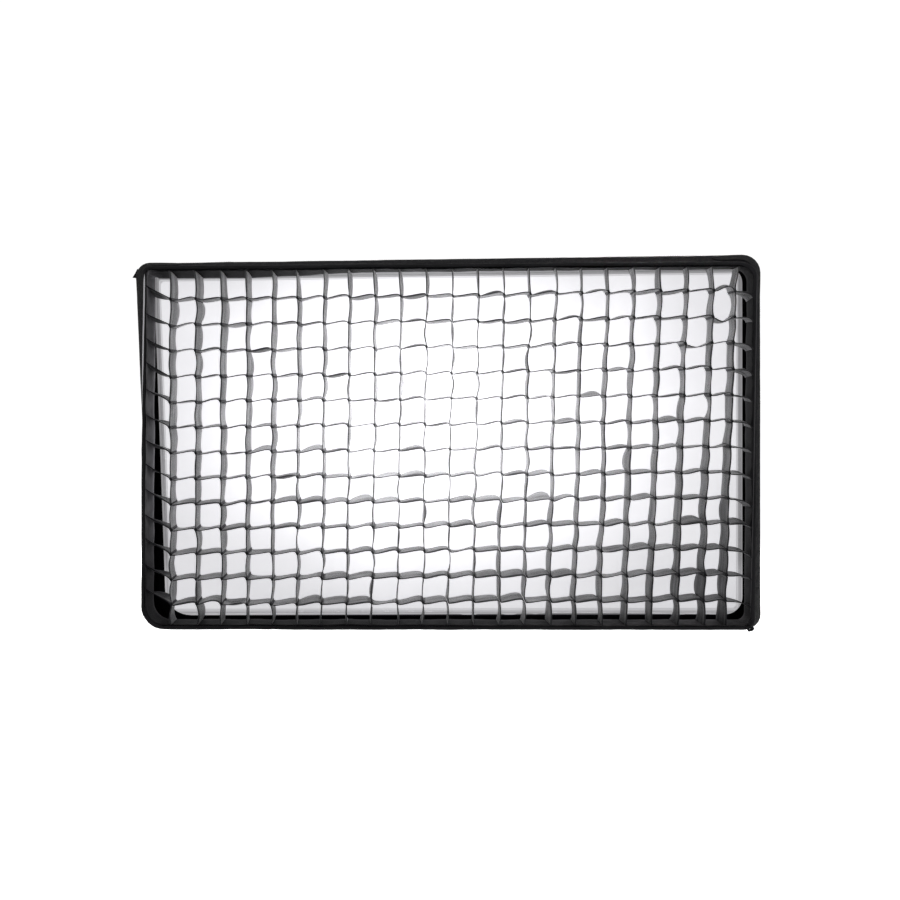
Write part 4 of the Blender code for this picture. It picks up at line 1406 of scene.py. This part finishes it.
def white_world():
    """A world that lights the object softly and looks white to the camera."""
    world = bpy.data.worlds.new("studio")
    bpy.context.scene.world = world
    world.use_nodes = True
    nodes, link = world.node_tree.nodes, world.node_tree.links.new
    lighting, backdrop = nodes["Background"], nodes.new("ShaderNodeBackground")
    for node, strength in ((lighting, LIGHTING), (backdrop, BACKDROP)):
        node.inputs["Color"].default_value = (1, 1, 1, 1)
        node.inputs["Strength"].default_value = strength
    choose = nodes.new("ShaderNodeMixShader")
    link(nodes.new("ShaderNodeLightPath").outputs["Is Camera Ray"], choose.inputs[0])
    link(lighting.outputs[0], choose.inputs[1])
    link(backdrop.outputs[0], choose.inputs[2])
    link(choose.outputs[0], nodes["World Output"].inputs[0])


def stage():
    """Pale floor, soft lights and the camera."""
    corners = [(x * FLOOR_HALF, y * FLOOR_HALF, FLOOR_Z) for x, y in ((-1, -1), (1, -1), (1, 1), (-1, 1))]
    floor = add_object("floor", mesh_of("floor", corners, [(0, 1, 2, 3)]))
    floor.data.materials.append(pale_floor())
    white_world()
    for name, (place, aim, size, power) in LIGHTS.items():
        data = bpy.data.lights.new(name, "AREA")
        data.size = size
        data.energy = power
        place_facing(add_object(name, data), place, aim)
    data = bpy.data.cameras.new("camera")
    data.sensor_width = 36
    data.lens = 40.8
    camera = add_object("camera", data)
    place_facing(camera, CAMERA_PLACE, CAMERA_AIM)
    bpy.context.scene.camera = camera
    bpy.context.scene.view_settings.view_transform = "Standard"


# Build.

shell()
seam_tapes()
collar()
lip()
hem()
rim_piping()
# The piping's pale colour paints a highlight on the left of the hem, a fainter one on the right.
edge_piping("edge_piping_left", -1, low_z=0.085, start=-0.0008, drift=0.0040, taper=0.7, thick=0.0016,
            material=PIPING_PAINTED_HIGHLIGHT)
edge_piping("edge_piping_right", 1, low_z=0.030 - LIP_Z, start=0.0002, drift=-0.0066, taper=0.3, thick=0.0011,
            material=PIPING_FAINT_PAINTED_HIGHLIGHT)
diffuser_ledge()
corner_pockets()
stitches("hem_stitches", lip_surface(0.90, 0.0017, *FINE))
stitches("rim_stitches_front", lip_surface(0.045, 0.0017, *FINE))
stitches("rim_stitches_rear", shell_surface(0.985, 0.0015, *FINE))
band("lip_loop_tape", LIP_X - 0.0008, LIP_Z - 0.0008, TAPE_LOW.y, TAPE_HIGH.y, 0.08, TAPE,
     (), "ring", thickness=0.0014, wobble=0.0004, seed=1.0)
band("grid_border", HALF_X, HALF_Z, GRID_LOW.y + 0.0015, GRID_HIGH.y - 0.001, 0.15, BORDER,
     ["grid_hook_tape"], "grid", thickness=0.0010, wobble=0.0020, seed=7.0, droop=0.010)
stretched_sheet("front_diffuser", HALF_X, HALF_Z, DIFFUSER_RADII, 0.004, "diffuser", "diffuser_cloth",
                DIFFUSER, ["diffuser_hook_tape"], count=(192, 116), rise=0.0085, drop=0.0040, draw_in=0.006)
stretched_sheet("inner_baffle", *BAFFLE_HALF, BAFFLE_RADII, 0.006, "baffle", "baffle_cloth",
                BAFFLE, (), count=(40, 24), draw_in=0.045)
baffle_straps()
grid_lattice()
pull_loop()
button_springs()
finish_cad_nodes()
stage()
